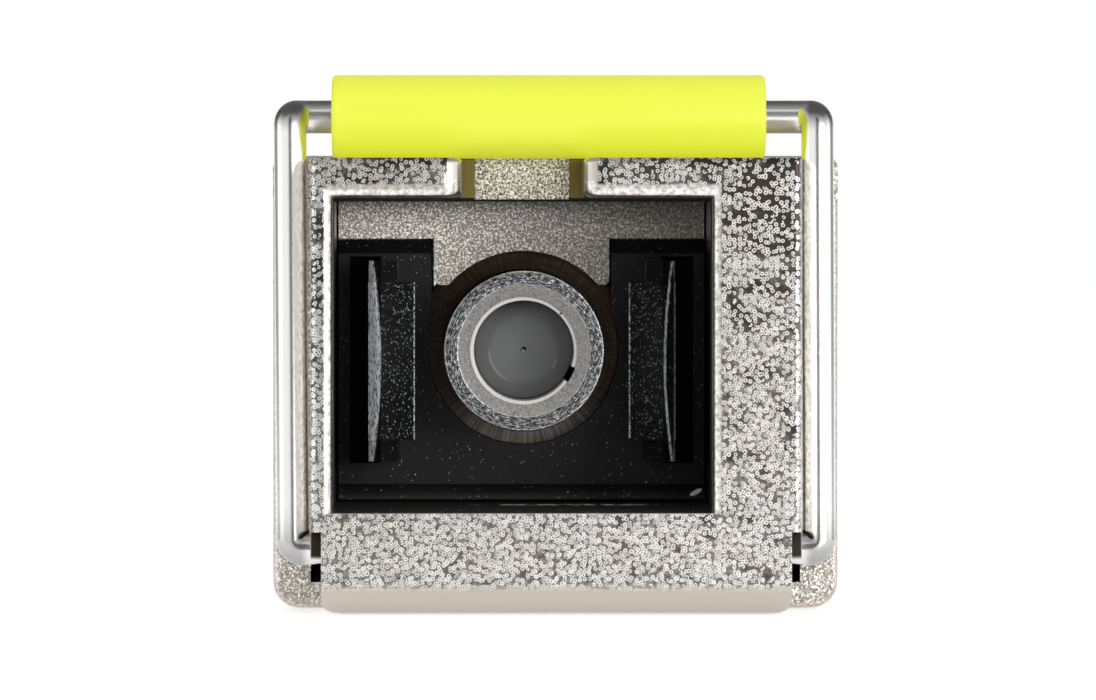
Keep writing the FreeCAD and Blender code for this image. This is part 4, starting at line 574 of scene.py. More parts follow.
class CastingSettings(bpy.types.PropertyGroup):
    """Plated castings."""
    colour: colour_setting("Plating", "Colour of the plating", 0.67, 0.625, 0.565)
    sill: colour_setting("Sill", "Colour of the nose's smooth lower edge", 0.54, 0.485, 0.43)
    # Colour of the painted glints drawn as bright rings, and of the worn mouth lips and sides.
    ring: colour_setting("Ring", "Colour of the bright rings and the mouth's roundings", 1.0, 0.965, 0.915)
    # Colour of the dark patches on the front face, and of the painted shade on the plate behind the port and
    # on the unlit walls.
    stain_and_shade: colour_setting("Stain", "Colour of the dark patches", 0.06, 0.052, 0.045)
    # Colour of the painted shade, with a painted reflection of the yellow sleeve, on the key slot's side
    # walls and beside its end wall.
    key_shade_and_reflection: colour_setting("Key slot", "Colour of the key slot's side walls", 0.13, 0.1, 0.03)
    ring_spacing: length_setting("Ring spacing", "Distance between bright rings", 0.125)
    grain: length_setting("Grain", "Size of the grain", 0.075)
    facet: length_setting("Facet", "Size of the blasted facets", 0.04)
    speck: length_setting("Speck", "Size of the glitter on the deep plates", 0.055)
    lean: plain_setting("Facet lean", "How far the facets lean apart", 0.95)
    plate_lean: plain_setting("Plate lean", "The same on the plate behind the port", 0.65)


class PlasticSettings(bpy.types.PropertyGroup):
    """Black moulding in the port and yellow sleeve on the bail."""
    frame_colour: colour_setting("Moulding", "Colour of the port's moulding", 0.0058, 0.0058, 0.006)
    # Colour of the dust, the pale flecks and spot, and the painted highlight on the hooks' bevels.
    rubbed: colour_setting("Rubbed", "Colour of rubbed and chipped edges", 0.72, 0.76, 0.785)
    sleeve_colour: colour_setting("Sleeve", "Colour of the bail's sleeve", 0.29, 0.335, 0.038)
    # Colour of the painted glow, which stands for the plastic's fluorescence and lightens its shaded
    # underside.
    sleeve_glow: colour_setting("Sleeve glow", "Colour that the fluorescent sleeve adds", 0.86, 0.88, 0.02)
    sleeve_dust: colour_setting("Sleeve dust", "Colour of the specks on the sleeve", 0.4, 0.4, 0.1)
    sleeve_round: length_setting("Sleeve ends", "Rounding of the sleeve's ends", 0.15)
    sleeve_bore: length_setting("Sleeve bore", "Radius of the sleeve's bore", 0.42)


class ReceptacleSettings(bpy.types.PropertyGroup):
    """Turned tube and ceramics in the port."""
    steel: colour_setting("Steel", "Colour of the tube", 0.62, 0.61, 0.59)
    rim: colour_setting("Rim", "Colour of the streaks on the tube's rim", 0.82, 0.84, 0.86)
    dark_steel: colour_setting("Dark steel", "Colour of the flanged ring", 0.16, 0.115, 0.08)
    white: colour_setting("White ceramic", "Colour of the split sleeve", 0.58, 0.57, 0.545)
    grey: colour_setting("Grey ceramic", "Colour of the ferrule stub", 0.145, 0.15, 0.149)
    chip: colour_setting("Chip", "Colour of the chip on the split sleeve", 0.02, 0.018, 0.015)
    fibre: colour_setting("Fibre", "Colour of the fibre's glass", 0.05, 0.05, 0.05)
    slit: length_setting("Slit", "Width of the sleeve's slit", 0.43)
    slit_turn: FloatProperty(name="Slit turn", description="Angle of the slit under the right",
                             default=math.radians(27), subtype="ANGLE")


class BailSettings(bpy.types.PropertyGroup):
    """Bent wire of the bail."""
    colour: colour_setting("Wire", "Colour of the wire", 0.94, 0.925, 0.905)
    # Colour of the painted shade on the wire's pivots inside the housing's slots.
    grime: colour_setting("Grime", "Colour of the pivots' grime", 0.03, 0.022, 0.016)
    radius: length_setting("Radius", "Radius of the wire", 0.4)
    bend: length_setting("Bend", "Radius of the bends at the wire's middle", 0.24)
    splay: length_setting("Splay", "How far the left arm's top stands out", 0.1)
    set_back: length_setting("Set back", "How far the bar lies behind the arms", 0.3)
    dome: length_setting("Dome", "Height of the domed ends", 0.12)
    pivot: point_setting("Pivot", "Middle of the bail's pivot axis", 0.0, 1.5, 1.5)
    pivot_end: length_setting("Pivot end", "Middle plane to a pivot's end", 4.55)
    flat: length_setting("Cam flat", "Pivot axis to the flat under it", 0.2)
    flat_reach: length_setting("Flat reach", "Middle plane to the outer end of a flat", 5.25)


class FastenerSettings(bpy.types.PropertyGroup):
    """Screws in the roof, and the rocker, the pin and the spring of the latch."""
    colour: colour_setting("Screw", "Colour of the screws", 0.52, 0.51, 0.5)
    socket: length_setting("Socket", "Mean radius of the six-lobed socket", 0.45)
    socket_depth: length_setting("Socket depth", "Depth of the socket", 0.5)
    shank: length_setting("Shank", "Radius of the shank", 0.7)
    head: length_setting("Head", "Radius of the head", 1.25)
    latch_colour: colour_setting("Latch", "Colour of the rocker and its pin", 0.6, 0.58, 0.55)
    spring_colour: colour_setting("Spring", "Colour of the latch spring", 0.45, 0.44, 0.43)
    spring_wire: length_setting("Spring wire", "Radius of the spring's wire", 0.11)
    spring_turns: IntProperty(name="Spring turns", description="Turns of the spring", default=4)


class BoardSettings(bpy.types.PropertyGroup):
    """Board, what stands on it, and the optics before it."""
    mask: colour_setting("Board", "Colour of the board's coating", 0.012, 0.13, 0.05)
    gold: colour_setting("Gold", "Colour of the contacts and the leads", 0.83, 0.6, 0.22)
    film: colour_setting("Film", "Colour of the flexible strips", 0.42, 0.17, 0.025)
    can: colour_setting("Can", "Colour of the laser's and the receiver's can", 0.68, 0.62, 0.5)
    glass: colour_setting("Glass", "Colour of the lenses and the filter", 0.97, 0.98, 1.0)
    chip: colour_setting("Chip", "Colour of the chips and the resistors", 0.02, 0.02, 0.021)
    pad: colour_setting("Pad", "Colour of the soft pad on the driver chip", 0.3, 0.31, 0.33)
    tan: colour_setting("Capacitor", "Colour of the capacitors", 0.42, 0.3, 0.19)
    tan_shade: colour_setting("Capacitor shade", "Darker clouds of the capacitors", 0.34, 0.24, 0.15)
    ferrite: colour_setting("Ferrite", "Colour of the inductors", 0.06, 0.058, 0.056)
    ferrite_shade: colour_setting("Ferrite shade", "Darker clouds of the inductors", 0.04, 0.04, 0.04)


class DressCastings(bpy.types.Operator):
    """Plate the two castings: bright rings as painted glints and dark patches on the front face, blasted
    facets behind it, painted shade on the insides
    """
    bl_idname = "transceiver.dress_castings"
    bl_label = "Castings"

    # Places with a look of their own, as bounds for region(): millimetres, and facings of 1 at most.
    MOUTH_LIPS = (("out", None, 4.8, 0.03), ("z", 2.2, 10.4, 0.03), ("depth", None, 0.6, 0.1))
    RUBBED_SIDES = (("side", 0.7, None, 0.1), ("wide", 5.75, None, 0.05), ("depth", None, 3.4, 0.1))
    FRONT = (("z", 0.625, None, 0.125), ("x", None, 5.865, 0.065), ("depth", None, 0.225, 0.075),
             ("front", 0.25, None, 0.15))
    FRONT_MOUTH = (("out", None, 4.76, 0.04), ("z", 2.4, 10.3, 0.04))
    FRONT_KEY = (("out", None, 1.8, 0.04), ("z", 9.95, None, 0.05))
    DARKER_CORNER = (("x", 4.5, None, 0.9), ("z", 8.6, None, 1.6))
    # The port walls, the walls behind the moulding, the chamber and the pivot slots and reliefs are painted
    # dark as painted shade; the lit walls are left out of it.
    PORT_WALLS = (("out", None, 4.9, 0.05), ("z", 2.2, 10.1, 0.05), ("depth", 0.5, 13.0, 0.2),
                  ("front", -0.375, 0.375, 0.125))
    LIT_WALLS = (("z", 8.9, None, 0.2), ("depth", 2.3, None, 0.3), ("side", 0.75, None, 0.15))
    BEHIND_MOULDING = (("out", 2.35, None, 0.05), ("wide", None, 5.9, 0.05), ("z", 2.0, 8.9, 0.05),
                       ("depth", 11.3, 15.5, 0.1))
    CHAMBER = (("wide", None, 5.9, 0.05), ("z", 2.0, 7.9, 0.05), ("depth", 12.8, 58.0, 0.5))
    PIVOT_SLOTS = (("wide", 4.4, 5.83, 0.01), ("z", 0.7, 2.4, 0.05), ("depth", 0.4, 3.4, 0.05))
    PIVOT_RELIEFS = (("wide", 5.6, 6.0, 0.01), ("z", 0.6, 2.0, 0.05), ("depth", 3.55, 5.5, 0.03))
    # The key slot's side walls and the strips beside its end wall hold painted shade with a painted yellow
    # reflection.
    KEY_SIDES = (("z", 9.95, 11.2, 0.05), ("out", None, 1.7, 0.02), ("side", 0.875, None, 0.075))
    KEY_STRIPS = (("z", 9.95, 11.2, 0.05), ("out", 1.15, 1.7, 0.02), ("depth", 3.2, 3.8, 0.05))
    # A painted glint line along the port's floor.
    FLOOR_GLINT = (("depth", 7.3, 8.5, 0.4), ("x", -1.6, 2.2, 1.0))

    def execute(self, context):
        look = context.scene.transceiver_castings
        material, tree, shader, where = new_material("nickel_casting")
        spot = spot_of(tree, where)
        spot.update(facing_of(tree))
        forward = soft_step(tree, spot["front"], 0.9, 0.985)
        behind = soft_step(tree, spot["depth"], 0.8, 2.4)
        deep = soft_step(tree, spot["depth"], 4.5, 6.0)
        plate = product(tree, forward, soft_step(tree, spot["depth"], 9.0, 11.0))
        # Masks of painted shade: the key slot, and the walls that get no light.
        keys = most(tree, region(tree, spot, *self.KEY_SIDES), region(tree, spot, *self.KEY_STRIPS))
        dark = most(tree, self.unlit(tree, spot), keys)
        open_skin = opposite(tree, dark)
        blasted = product(tree, behind, spread(tree, forward, 0.35, 1.0))
        lean = spread(tree, plate, look.lean, look.plate_lean)
        facets = effect(tree, "Blasted facets", Vector=where, Scale=1 / look.facet,
                        Lean=product(tree, blasted, open_skin, lean))

        skin = tint(tree, blasted, self.smooth(tree, where, spot, look),
                    self.glitter(tree, where, spot, facets["Tone"], deep, plate, look))
        skin = tint(tree, self.at_face(tree, spot), skin, self.front_face(tree, where, spot, look))
        # Painted shade: these places take a near-black or olive colour and lose their metal.
        shaded_skin = tint(tree, keys, self.grime(tree, where, spot, look), solid(look.key_shade_and_reflection))

        grain = effect(tree, "Skin grain", Vector=where, Scale=1 / look.grain)["Height"]
        tops = soft_step(tree, spot["up"], 0.8, 0.95)
        matt = most(tree, spread(tree, deep, 0.3, 0.55), product(tree, plate, 0.95))
        scattered = product(tree, behind, forward, open_skin, matt)
        feed(tree, shader, Metallic=calc(tree, "SUBTRACT", open_skin, scattered),
             Base_Color=tint(tree, dark, skin, shaded_skin),
             Roughness=most(tree, spread(tree, grain, 0.22, 0.42), product(tree, plate, 0.36),
                            product(tree, tops, 0.55), dark),
             Normal=facets["Normal"])
        dress(material, "lower_housing", "upper_housing")
        return {"FINISHED"}

    def smooth(self, tree, where, spot, look):
        """Plain plating, a darker sill, and bright worn lips of the mouth and sides where the bail rubs."""
        clouds = noise(tree, where, 500.0, 4.0, 0.6)
        skin = tint(tree, clouds, solid(look.colour, 0.9), solid(look.colour, 1.05))
        skin = tint(tree, soft_step(tree, spot["z"], 0.8, 0.5), skin, solid(look.sill))
        wear = soft_step(tree, noise(tree, where, 8000.0, 3.0, 0.6), 0.3, 0.65)
        polished = most(tree, region(tree, spot, *self.MOUTH_LIPS), region(tree, spot, *self.RUBBED_SIDES))
        return tint(tree, polished, skin, tint(tree, wear, solid(look.colour, 0.7), solid(look.ring)))

    def glitter(self, tree, where, spot, tone, deep, plate, look):
        """Blasted skin: facets of many tones in front, fine glitter deep in the port whose bright specks,
        brighter than white, are painted glints, and painted shade that darkens the plate behind the port to
        the right.
        """
        grit = noise(tree, where, 1 / look.speck, 2.0, 0.7)
        grit = calc(tree, "SUBTRACT", grit, product(tree, plate, 0.06))
        tone = spread(tree, deep, soft_step(tree, tone, 0.2, 0.8), soft_step(tree, grit, 0.36, 0.66))
        darker_tone = tint(tree, deep, solid(look.colour, 0.45), solid(look.colour, 0.15))
        darker_tone = tint(tree, plate, darker_tone, solid(look.colour, 0.4))
        # Painted glints: deep in the port the bright facets are brighter than white.
        bright = tint(tree, deep, solid(look.colour, 1.5), solid(look.colour, 2.2))
        # Painted shade: the plate behind the port darkens towards the right, where the port's right wall
        # shades it.
        shade = product(tree, plate, soft_step(tree, spot["x"], -5.5, 4.5), 0.65)
        return tint(tree, shade, tint(tree, tone, darker_tone, bright), solid(look.stain_and_shade))

    def at_face(self, tree, spot):
        """Front face with its outer edges, without the roundings of the mouth, the key slot and the sill."""
        opening = most(tree, region(tree, spot, *self.FRONT_MOUTH), region(tree, spot, *self.FRONT_KEY))
        return product(tree, opposite(tree, opening), region(tree, spot, *self.FRONT))

    def front_face(self, tree, where, spot, look):
        """Bright rings as painted glints over a dark mottled ground, fewer of them towards the top and in the
        upper right corner.
        """
        x, y, z = parts_of(tree, where)
        across = joined(tree, x, z)
        stain_and_shade = product(tree, region(tree, spot, *self.DARKER_CORNER), 0.14)
        stain_and_shade = calc(tree, "ADD", product(tree, spot["z"], 0.017), stain_and_shade)
        clear = calc(tree, "SUBTRACT", noise(tree, across, 1500.0, 3.0, 0.6), stain_and_shade)
        clear = soft_step(tree, clear, 0.23, 0.48)
        # Painted glints: the bright rings.
        rings = effect(tree, "Bright rings", Vector=across, Scale=1 / look.ring_spacing,
                       Amount=spread(tree, clear, 0.5, 0.85))["Rings"]
        mottle = soft_step(tree, noise(tree, across, 9000.0, 3.0, 0.7), 0.3, 0.7)
        pale = tint(tree, mottle, solid(look.colour, 0.2), solid(look.colour, 0.55))
        return tint(tree, rings, tint(tree, clear, solid(look.stain_and_shade), pale), solid(look.ring))

    def unlit(self, tree, spot):
        """Mask of painted shade: walls of the port, the pivot slots and everything behind the moulding, which
        get no light.
        """
        lit = region(tree, spot, *self.LIT_WALLS)
        walls = product(tree, region(tree, spot, *self.PORT_WALLS), opposite(tree, lit))
        boxes = (self.BEHIND_MOULDING, self.CHAMBER, self.PIVOT_SLOTS, self.PIVOT_RELIEFS)
        return most(tree, walls, *(region(tree, spot, *bounds) for bounds in boxes))

    def grime(self, tree, where, spot, look):
        """Painted shade on the unlit walls: a near-black ground, with pale flecks as painted glints and a
        painted glint line on the floor where they look up.
        """
        upward = soft_step(tree, spot["up"], 0.7, 0.9)
        # Painted glints: pale flecks on the unlit walls near the front.
        distance, draw = cells(tree, vector_calc(tree, "MULTIPLY", where, (9000.0, 1100.0, 9000.0)), 1.0)
        flecks = product(tree, soft_step(tree, draw, 0.84, 0.97), soft_step(tree, distance, 0.5, 0.3),
                         soft_step(tree, spot["depth"], 6.5, 3.0))
        skin = tint(tree, product(tree, flecks, upward), solid(look.stain_and_shade, 0.1), solid(look.colour, 0.2))
        # Painted glint line on the port's floor, brighter than the plating.
        streaks = noise(tree, vector_calc(tree, "MULTIPLY", where, (3000.0, 600.0, 3000.0)), 1.0, 2.0)
        glint_line = product(tree, region(tree, spot, *self.FLOOR_GLINT), soft_step(tree, streaks, 0.4, 0.55))
        return tint(tree, product(tree, glint_line, upward), skin, solid(look.colour, 1.5))


class MakeScrews(bpy.types.Operator):
    """Turn the two countersunk screws, with a six-lobed socket in each head"""
    bl_idname = "transceiver.make_screws"
    bl_label = "Screws"

    LOBES = 6
    LOBE_HEIGHT = 0.17
    EDGE = 0.04 * MM

    def execute(self, context):
        """Rings of points about each screw's axis.

        A ring's radius is a share of the socket's radius R (1 + h cos 6a) and a fixed part.
        """
        look = context.scene.transceiver_fasteners
        low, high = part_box("housing_screws")
        material = satin_metal("screw_steel", look.colour, 0.32, 16000.0)
        angle = np.linspace(0.0, FULL_TURN, 72, endpoint=False)
        lobes = look.socket * (1 + self.LOBE_HEIGHT * np.cos(self.LOBES * angle))
        edge = self.EDGE
        height = high.z - low.z
        # Share of the lobes, fixed part, and drop under the head.
        rings = [
            (0.0, 0.0, look.socket_depth), (0.96, 0.0, look.socket_depth), (1.0, 0.0, edge),
            (1.0, edge, 0.0), (0.0, look.head - edge, 0.0), (0.0, look.head, edge / 2),
            (0.0, look.shank, look.head - look.shank), (0.0, look.shank, height - edge),
            (0.0, look.shank - edge, height), (0.0, 0.0, height)]
        share, fixed, drop = np.array(rings).T[:, :, None]
        radius = share * lobes + fixed
        y = halfway(low.y, high.y) + radius * np.sin(angle)
        for side, middle in (("left", low.x + look.head), ("right", high.x - look.head)):
            x = middle + radius * np.cos(angle)
            points = np.stack(np.broadcast_arrays(x, y, high.z - drop), -1)
            screw = surface(side + "_screw", points, material, sharp=30)
            stand_for(screw, "module", "housing_screws")
        return {"FINISHED"}


class DressPlugFrame(bpy.types.Operator):
    """Give the black moulding its fine skin, its dust, pale flecks and spot, and a painted highlight on the
    bevels of its hooks
    """
    bl_idname = "transceiver.dress_plug_frame"
    bl_label = "Plug latch frame"

    # Places with a look of their own, as bounds for region(), in millimetres.
    HOOK_BACKS = (("into", 3.5, 3.9, 0.02), ("out", None, 3.825, 0.015), ("depth", 6.3, 7.6, 0.05))
    LEFT = ("x", None, PORT_X / MM - 0.5, 0.5)
    RIGHT = ("x", PORT_X / MM + 0.5, None, 0.5)
    FIRST_LINE = ("into", 3.52, 3.58, 0.015)
    SECOND_LINE = ("out", 3.78, 3.83, 0.015)
    HOOKS = (("z", 4.05, 7.95, 0.03), ("depth", 6.4, 7.9, 0.05))
    SLOPES = ("out", None, 3.5, 0.05)
    INNER_EDGES = ("out", 2.65, 2.7, 0.01)
    FOOT = ("depth", None, 11.5, 0.1)
    HOOK_MIDDLE = 5.995
    HOOK_HALF = 2.5
    HOOK_BOW = 0.2
    CHIP_MIDDLE = (3.62, 2.63)
    CHIP_HALF = (0.17, 0.06)
    CHIP_LEAN = 28

    def execute(self, context):
        look = context.scene.transceiver_plastics
        material, tree, shader, where = new_material("black_plastic")
        spot = spot_of(tree, where)
        clouds = noise(tree, where, 700.0, 3.0, 0.6)
        grain = effect(tree, "Skin grain", Vector=where, Scale=17000.0)["Height"]
        dust = effect(tree, "Loose dust", Vector=where, Scale=8000.0, Amount=0.075)["Specks"]
        body = tint(tree, clouds, solid(look.frame_colour, 0.6), solid(look.frame_colour, 2.0))
        body = tint(tree, product(tree, dust, 0.5), body, solid(look.rubbed))
        # Pale flecks and spot, and the painted highlight on the hooks' bevels.
        rubbed = most(tree, self.bevel_highlight(tree, where, spot), self.hook_flecks(tree, where, spot),
                      self.chip(tree, spot))
        feed(tree, shader, Base_Color=tint(tree, rubbed, body, solid(look.rubbed)),
             Roughness=most(tree, spread(tree, clouds, 0.3, 0.45), rubbed),
             Specular_IOR_Level=0.35, Normal=relief(tree, grain, 0.6, 0.02))
        dress(material, "plug_latch_frame")
        return {"FINISHED"}

    def bevel_highlight(self, tree, where, spot):
        """Painted highlight on the bevel at the back of each hook: a lens-shaped band on the left, two lines
        on the right.
        """
        rise = product(tree, calc(tree, "SUBTRACT", spot["z"], self.HOOK_MIDDLE), 1 / self.HOOK_HALF)
        bow = product(tree, rise, rise, self.HOOK_BOW)
        spot = dict(spot, into=calc(tree, "SUBTRACT", spot["out"], bow))
        fade = spread(tree, soft_step(tree, spot["into"], 3.52, 3.66), 1.0, 0.6)
        left = product(tree, fade, region(tree, spot, self.LEFT))
        lines = most(tree, region(tree, spot, self.FIRST_LINE),
                     product(tree, region(tree, spot, self.SECOND_LINE), 0.3))
        right = product(tree, lines, region(tree, spot, self.RIGHT))
        streaks = vector_calc(tree, "MULTIPLY", where, (26000.0, 26000.0, 9000.0))
        return product(tree, most(tree, left, right), region(tree, spot, *self.HOOK_BACKS),
                       soft_step(tree, noise(tree, streaks, 1.0, 2.0, 0.7), 0.3, 0.6))

    def hook_flecks(self, tree, where, spot):
        """Fine pale flecks on the hooks' slopes, with a dotted line along their inner edges."""
        distance, draw = cells(tree, where, 21000.0)
        flecks = product(tree, soft_step(tree, draw, 0.7, 0.95), soft_step(tree, distance, 0.5, 0.2),
                         region(tree, spot, self.SLOPES), 0.5)
        dots = product(tree, soft_step(tree, noise(tree, where, 14000.0, 2.0, 0.7), 0.42, 0.6),
                       region(tree, spot, self.INNER_EDGES), 0.8)
        return product(tree, most(tree, flecks, dots), region(tree, spot, *self.HOOKS))

    def chip(self, tree, spot):
        """Small pale spot on the right end of the moulding's foot: a leaning ellipse."""
        reach = leaning_ellipse(tree, spot, self.CHIP_MIDDLE, self.CHIP_LEAN, self.CHIP_HALF)
        return product(tree, soft_step(tree, reach, 1.1, 0.8), region(tree, spot, self.FOOT), 0.7)


class MakeReceptacle(bpy.types.Operator):
    """Turn the tube, the flanged ring, the slit sleeve and the ferrule stub"""
    bl_idname = "transceiver.make_receptacle"
    bl_label = "Receptacle"

    # Radii and lengths in millimetres.
    TUBE_OUTSIDE, TUBE_MOUTH, TUBE_ROOM, TUBE_LIP, TUBE_THROAT = 2.0, 1.65, 1.62, 1.34, 1.27
    TUBE_LIP_REAR, LIP_START, LIP_END = 1.355, 0.37, 0.5
    FLANGE, WAIST, HOLDER_BORE, FLANGE_DEPTH = 2.8, 2.25, 2.02, 0.9
    STUB, STUB_FACE, STUB_BORE, STUB_BEVEL = 1.25, 0.86, 0.075, 0.12
    SLEEVE_OUTSIDE, SLEEVE_BORE, SLEEVE_REAR_BORE, SLEEVE_MIDDLE = 1.6, 1.25, 1.27, 1.42
    SLEEVE_TAPER, CLEARANCE = 0.6, 0.02

    # Places with a look of their own, as bounds for region(), in millimetres about the port's axis.
    RIM = (("radius", 1.61, None, 0.01), ("depth", None, 0.035, 0.015))
    CONE = (("radius", None, 1.645, 0.015), ("depth", None, 0.45, 0.05))
    MOUTH_EDGE = ("radius", 1.632, 1.658, 0.012)
    OUTER_EDGE = (("radius", 1.9625, None, 0.0125), ("depth", None, 0.05, 0.01))
    BORE = (("radius", None, 1.65, 0.01), ("depth", 0.475, None, 0.025))
    HIGHLIGHT_ARCS = ("radius", 0.86, 0.9, 0.035)
    CHIP_FROM_AXIS = (0.93, 0.94)
    CHIP_HALF = (0.1 / math.sqrt(2), 0.035 / math.sqrt(2))
    CHIP_LEAN = 45

    def execute(self, context):
        look = context.scene.transceiver_receptacle
        front, rear = TUBE_LOW.y / MM, TUBE_HIGH.y / MM
        sleeve_front, sleeve_rear = (corner.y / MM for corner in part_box("split_sleeve"))
        near, far = (corner.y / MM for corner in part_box("receptacle_holder"))
        face, tail = (corner.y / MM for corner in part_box("fibre_stub"))
        shoulder = sleeve_rear + self.CLEARANCE
        tube = turned_ring("turned_tube", [
            (self.TUBE_MOUTH, front), (self.TUBE_OUTSIDE, front), (self.TUBE_OUTSIDE, rear),
            (self.TUBE_THROAT, rear), (self.TUBE_THROAT, shoulder), (self.TUBE_ROOM, shoulder),
            (self.TUBE_ROOM, front + self.LIP_END), (self.TUBE_LIP_REAR, front + self.LIP_END),
            (self.TUBE_LIP, front + self.LIP_START)],
            [0.015, 0.035, 0.02, 0.01, 0.01, 0.01, 0.01, 0.01, 0.02], self.tube_finish(look))
        holder = turned_ring("flanged_ring", [
            (self.HOLDER_BORE, near), (self.FLANGE, near), (self.FLANGE, near + self.FLANGE_DEPTH),
            (self.WAIST, near + self.FLANGE_DEPTH), (self.WAIST, far - self.FLANGE_DEPTH),
            (self.FLANGE, far - self.FLANGE_DEPTH), (self.FLANGE, far), (self.HOLDER_BORE, far)],
            0.04, self.holder_finish(look))
        stub = turned_ring("ferrule_stub", [
            (self.STUB_BORE, face), (self.STUB_FACE, face), (self.STUB, face + self.STUB_BEVEL),
            (self.STUB, tail), (self.STUB_BORE, tail)],
            [0.005, 0.06, 0.05, 0.02, 0.005], self.stub_finish(look))
        sleeve = self.slit_sleeve(look, sleeve_front, sleeve_rear, face, self.sleeve_finish(look))
        stand_for(tube, "module", "receptacle_shell")
        stand_for(holder, "module", "receptacle_holder")
        stand_for(sleeve, "module", "split_sleeve")
        stand_for(stub, "module", "fibre_stub")
        dress(clear_glass("fibre_glass", look.fibre), "stub_fibre")
        return {"FINISHED"}

    def tube_finish(self, look):
        """Turned steel: torn bright streaks round the rim, a grainy lead-in, a bright edge, and painted shade
        in the bore.
        """
        material, tree, shader, where = new_material("turned_steel")
        centred = about_port(tree, where)
        radius, y, angle = round_axis(tree, centred)
        depth = calc(tree, "SUBTRACT", y, TUBE_LOW.y)
        spot = {"radius": product(tree, radius, 1 / MM), "depth": product(tree, depth, 1 / MM)}
        on_rim, on_cone = region(tree, spot, *self.RIM), region(tree, spot, *self.CONE)
        # Painted shade: the bore is painted near black and loses its metal.
        bore = region(tree, spot, *self.BORE)

        turning = effect(tree, "Turning lines", Vector=centred, Scale=22000.0)["Lines"]
        skin = tint(tree, soft_step(tree, turning, 0.3, 0.7), solid(look.steel, 0.4), solid(look.steel))
        rolled = joined(tree, product(tree, radius, 34000.0), product(tree, angle, 13.0))
        torn = noise(tree, rolled, 1.0, 3.0, 0.75)
        streaks = soft_step(tree, torn, 0.44, 0.66)
        skin = tint(tree, on_rim, skin, tint(tree, streaks, solid(look.steel, 0.06), solid(look.rim, 0.8)))
        grain = soft_step(tree, noise(tree, where, 24000.0, 2.0, 0.7), 0.35, 0.65)
        skin = tint(tree, on_cone, skin, tint(tree, grain, solid(look.steel, 0.75), solid(look.steel, 1.45)))
        chipped = soft_step(tree, noise(tree, where, 9000.0, 2.0), 0.25, 0.5)
        edges = most(tree, product(tree, region(tree, spot, self.MOUTH_EDGE), chipped),
                     region(tree, spot, *self.OUTER_EDGE))
        skin = tint(tree, edges, skin, solid(look.rim, 1.15))

        lean = calc(tree, "ADD", product(tree, on_rim, 0.2), product(tree, on_cone, 0.6))
        facets = effect(tree, "Blasted facets", Vector=where, Scale=24000.0, Lean=lean)
        scattering = most(tree, bore, product(tree, on_cone, 0.35))
        feed(tree, shader, Metallic=opposite(tree, scattering),
             Base_Color=tint(tree, bore, skin, solid(look.steel, 0.02)),
             Roughness=most(tree, spread(tree, torn, 0.2, 0.4), bore), Normal=facets["Normal"])
        return material

    def holder_finish(self, look):
        """Dark turned ring: fine lathe lines that shine in a few fans across the face as a painted sheen, and
        painted glints in fans on its lower part.
        """
        material, tree, shader, where = new_material("dark_steel")
        centred = about_port(tree, where)
        x, y, z = parts_of(tree, centred)
        angle = calc(tree, "ARCTAN2", z, x)
        fans = noise(tree, joined(tree, product(tree, angle, 26.0), 0.0), 1.0, 4.0, 0.7)
        turning = effect(tree, "Turning lines", Vector=centred, Scale=26000.0)["Lines"]
        lines = product(tree, soft_step(tree, turning, 0.35, 0.65), soft_step(tree, fans, 0.35, 0.75))
        # Painted glints: the lower part turns paler in fans.
        low = soft_step(tree, z, -1.2 * MM, -2.2 * MM)
        body = tint(tree, lines, solid(look.dark_steel, 0.4), solid(look.dark_steel))
        glint = tint(tree, soft_step(tree, fans, 0.4, 0.65), solid(look.dark_steel), solid(look.steel, 0.6))
        feed(tree, shader, Metallic=1.0, Base_Color=tint(tree, low, body, glint),
             Roughness=spread(tree, turning, 0.45, 0.28), Normal=relief(tree, turning, 0.3, 0.01))
        return material

    def stub_finish(self, look):
        """Grey ceramic with two pale arcs painted as highlights where its face meets the bevel."""
        def arcs(tree, where, skin):
            """Colour with a painted highlight arc at the lower left and a short one at the right."""
            radius, y, angle = round_axis(tree, about_port(tree, where))
            left = soft_step(tree, away(tree, angle, -math.radians(150)), 0.9, 0.2)
            right = soft_step(tree, away(tree, angle, -math.radians(25)), 0.25, 0.05)
            ring = region(tree, {"radius": product(tree, radius, 1 / MM)}, self.HIGHLIGHT_ARCS)
            return tint(tree, product(tree, most(tree, left, right), ring, 0.35), skin, solid(look.white))
        return fired_ceramic("grey_zirconia", look.grey, solid(look.grey, 0.94), 0.3, arcs)

    def sleeve_finish(self, look):
        """White ceramic with one dark chip on its front edge."""
        def chipped(tree, where, skin):
            """Colour with a leaning ellipse at the upper right."""
            middle = [axis / MM + offset for axis, offset in zip(PORT_AXIS, self.CHIP_FROM_AXIS)]
            reach = leaning_ellipse(tree, spot_of(tree, where), middle, self.CHIP_LEAN, self.CHIP_HALF)
            return tint(tree, soft_step(tree, reach, 1.2, 0.7), skin, solid(look.chip))
        return fired_ceramic("white_zirconia", look.white, solid(look.white, 0.92), 0.3, chipped)

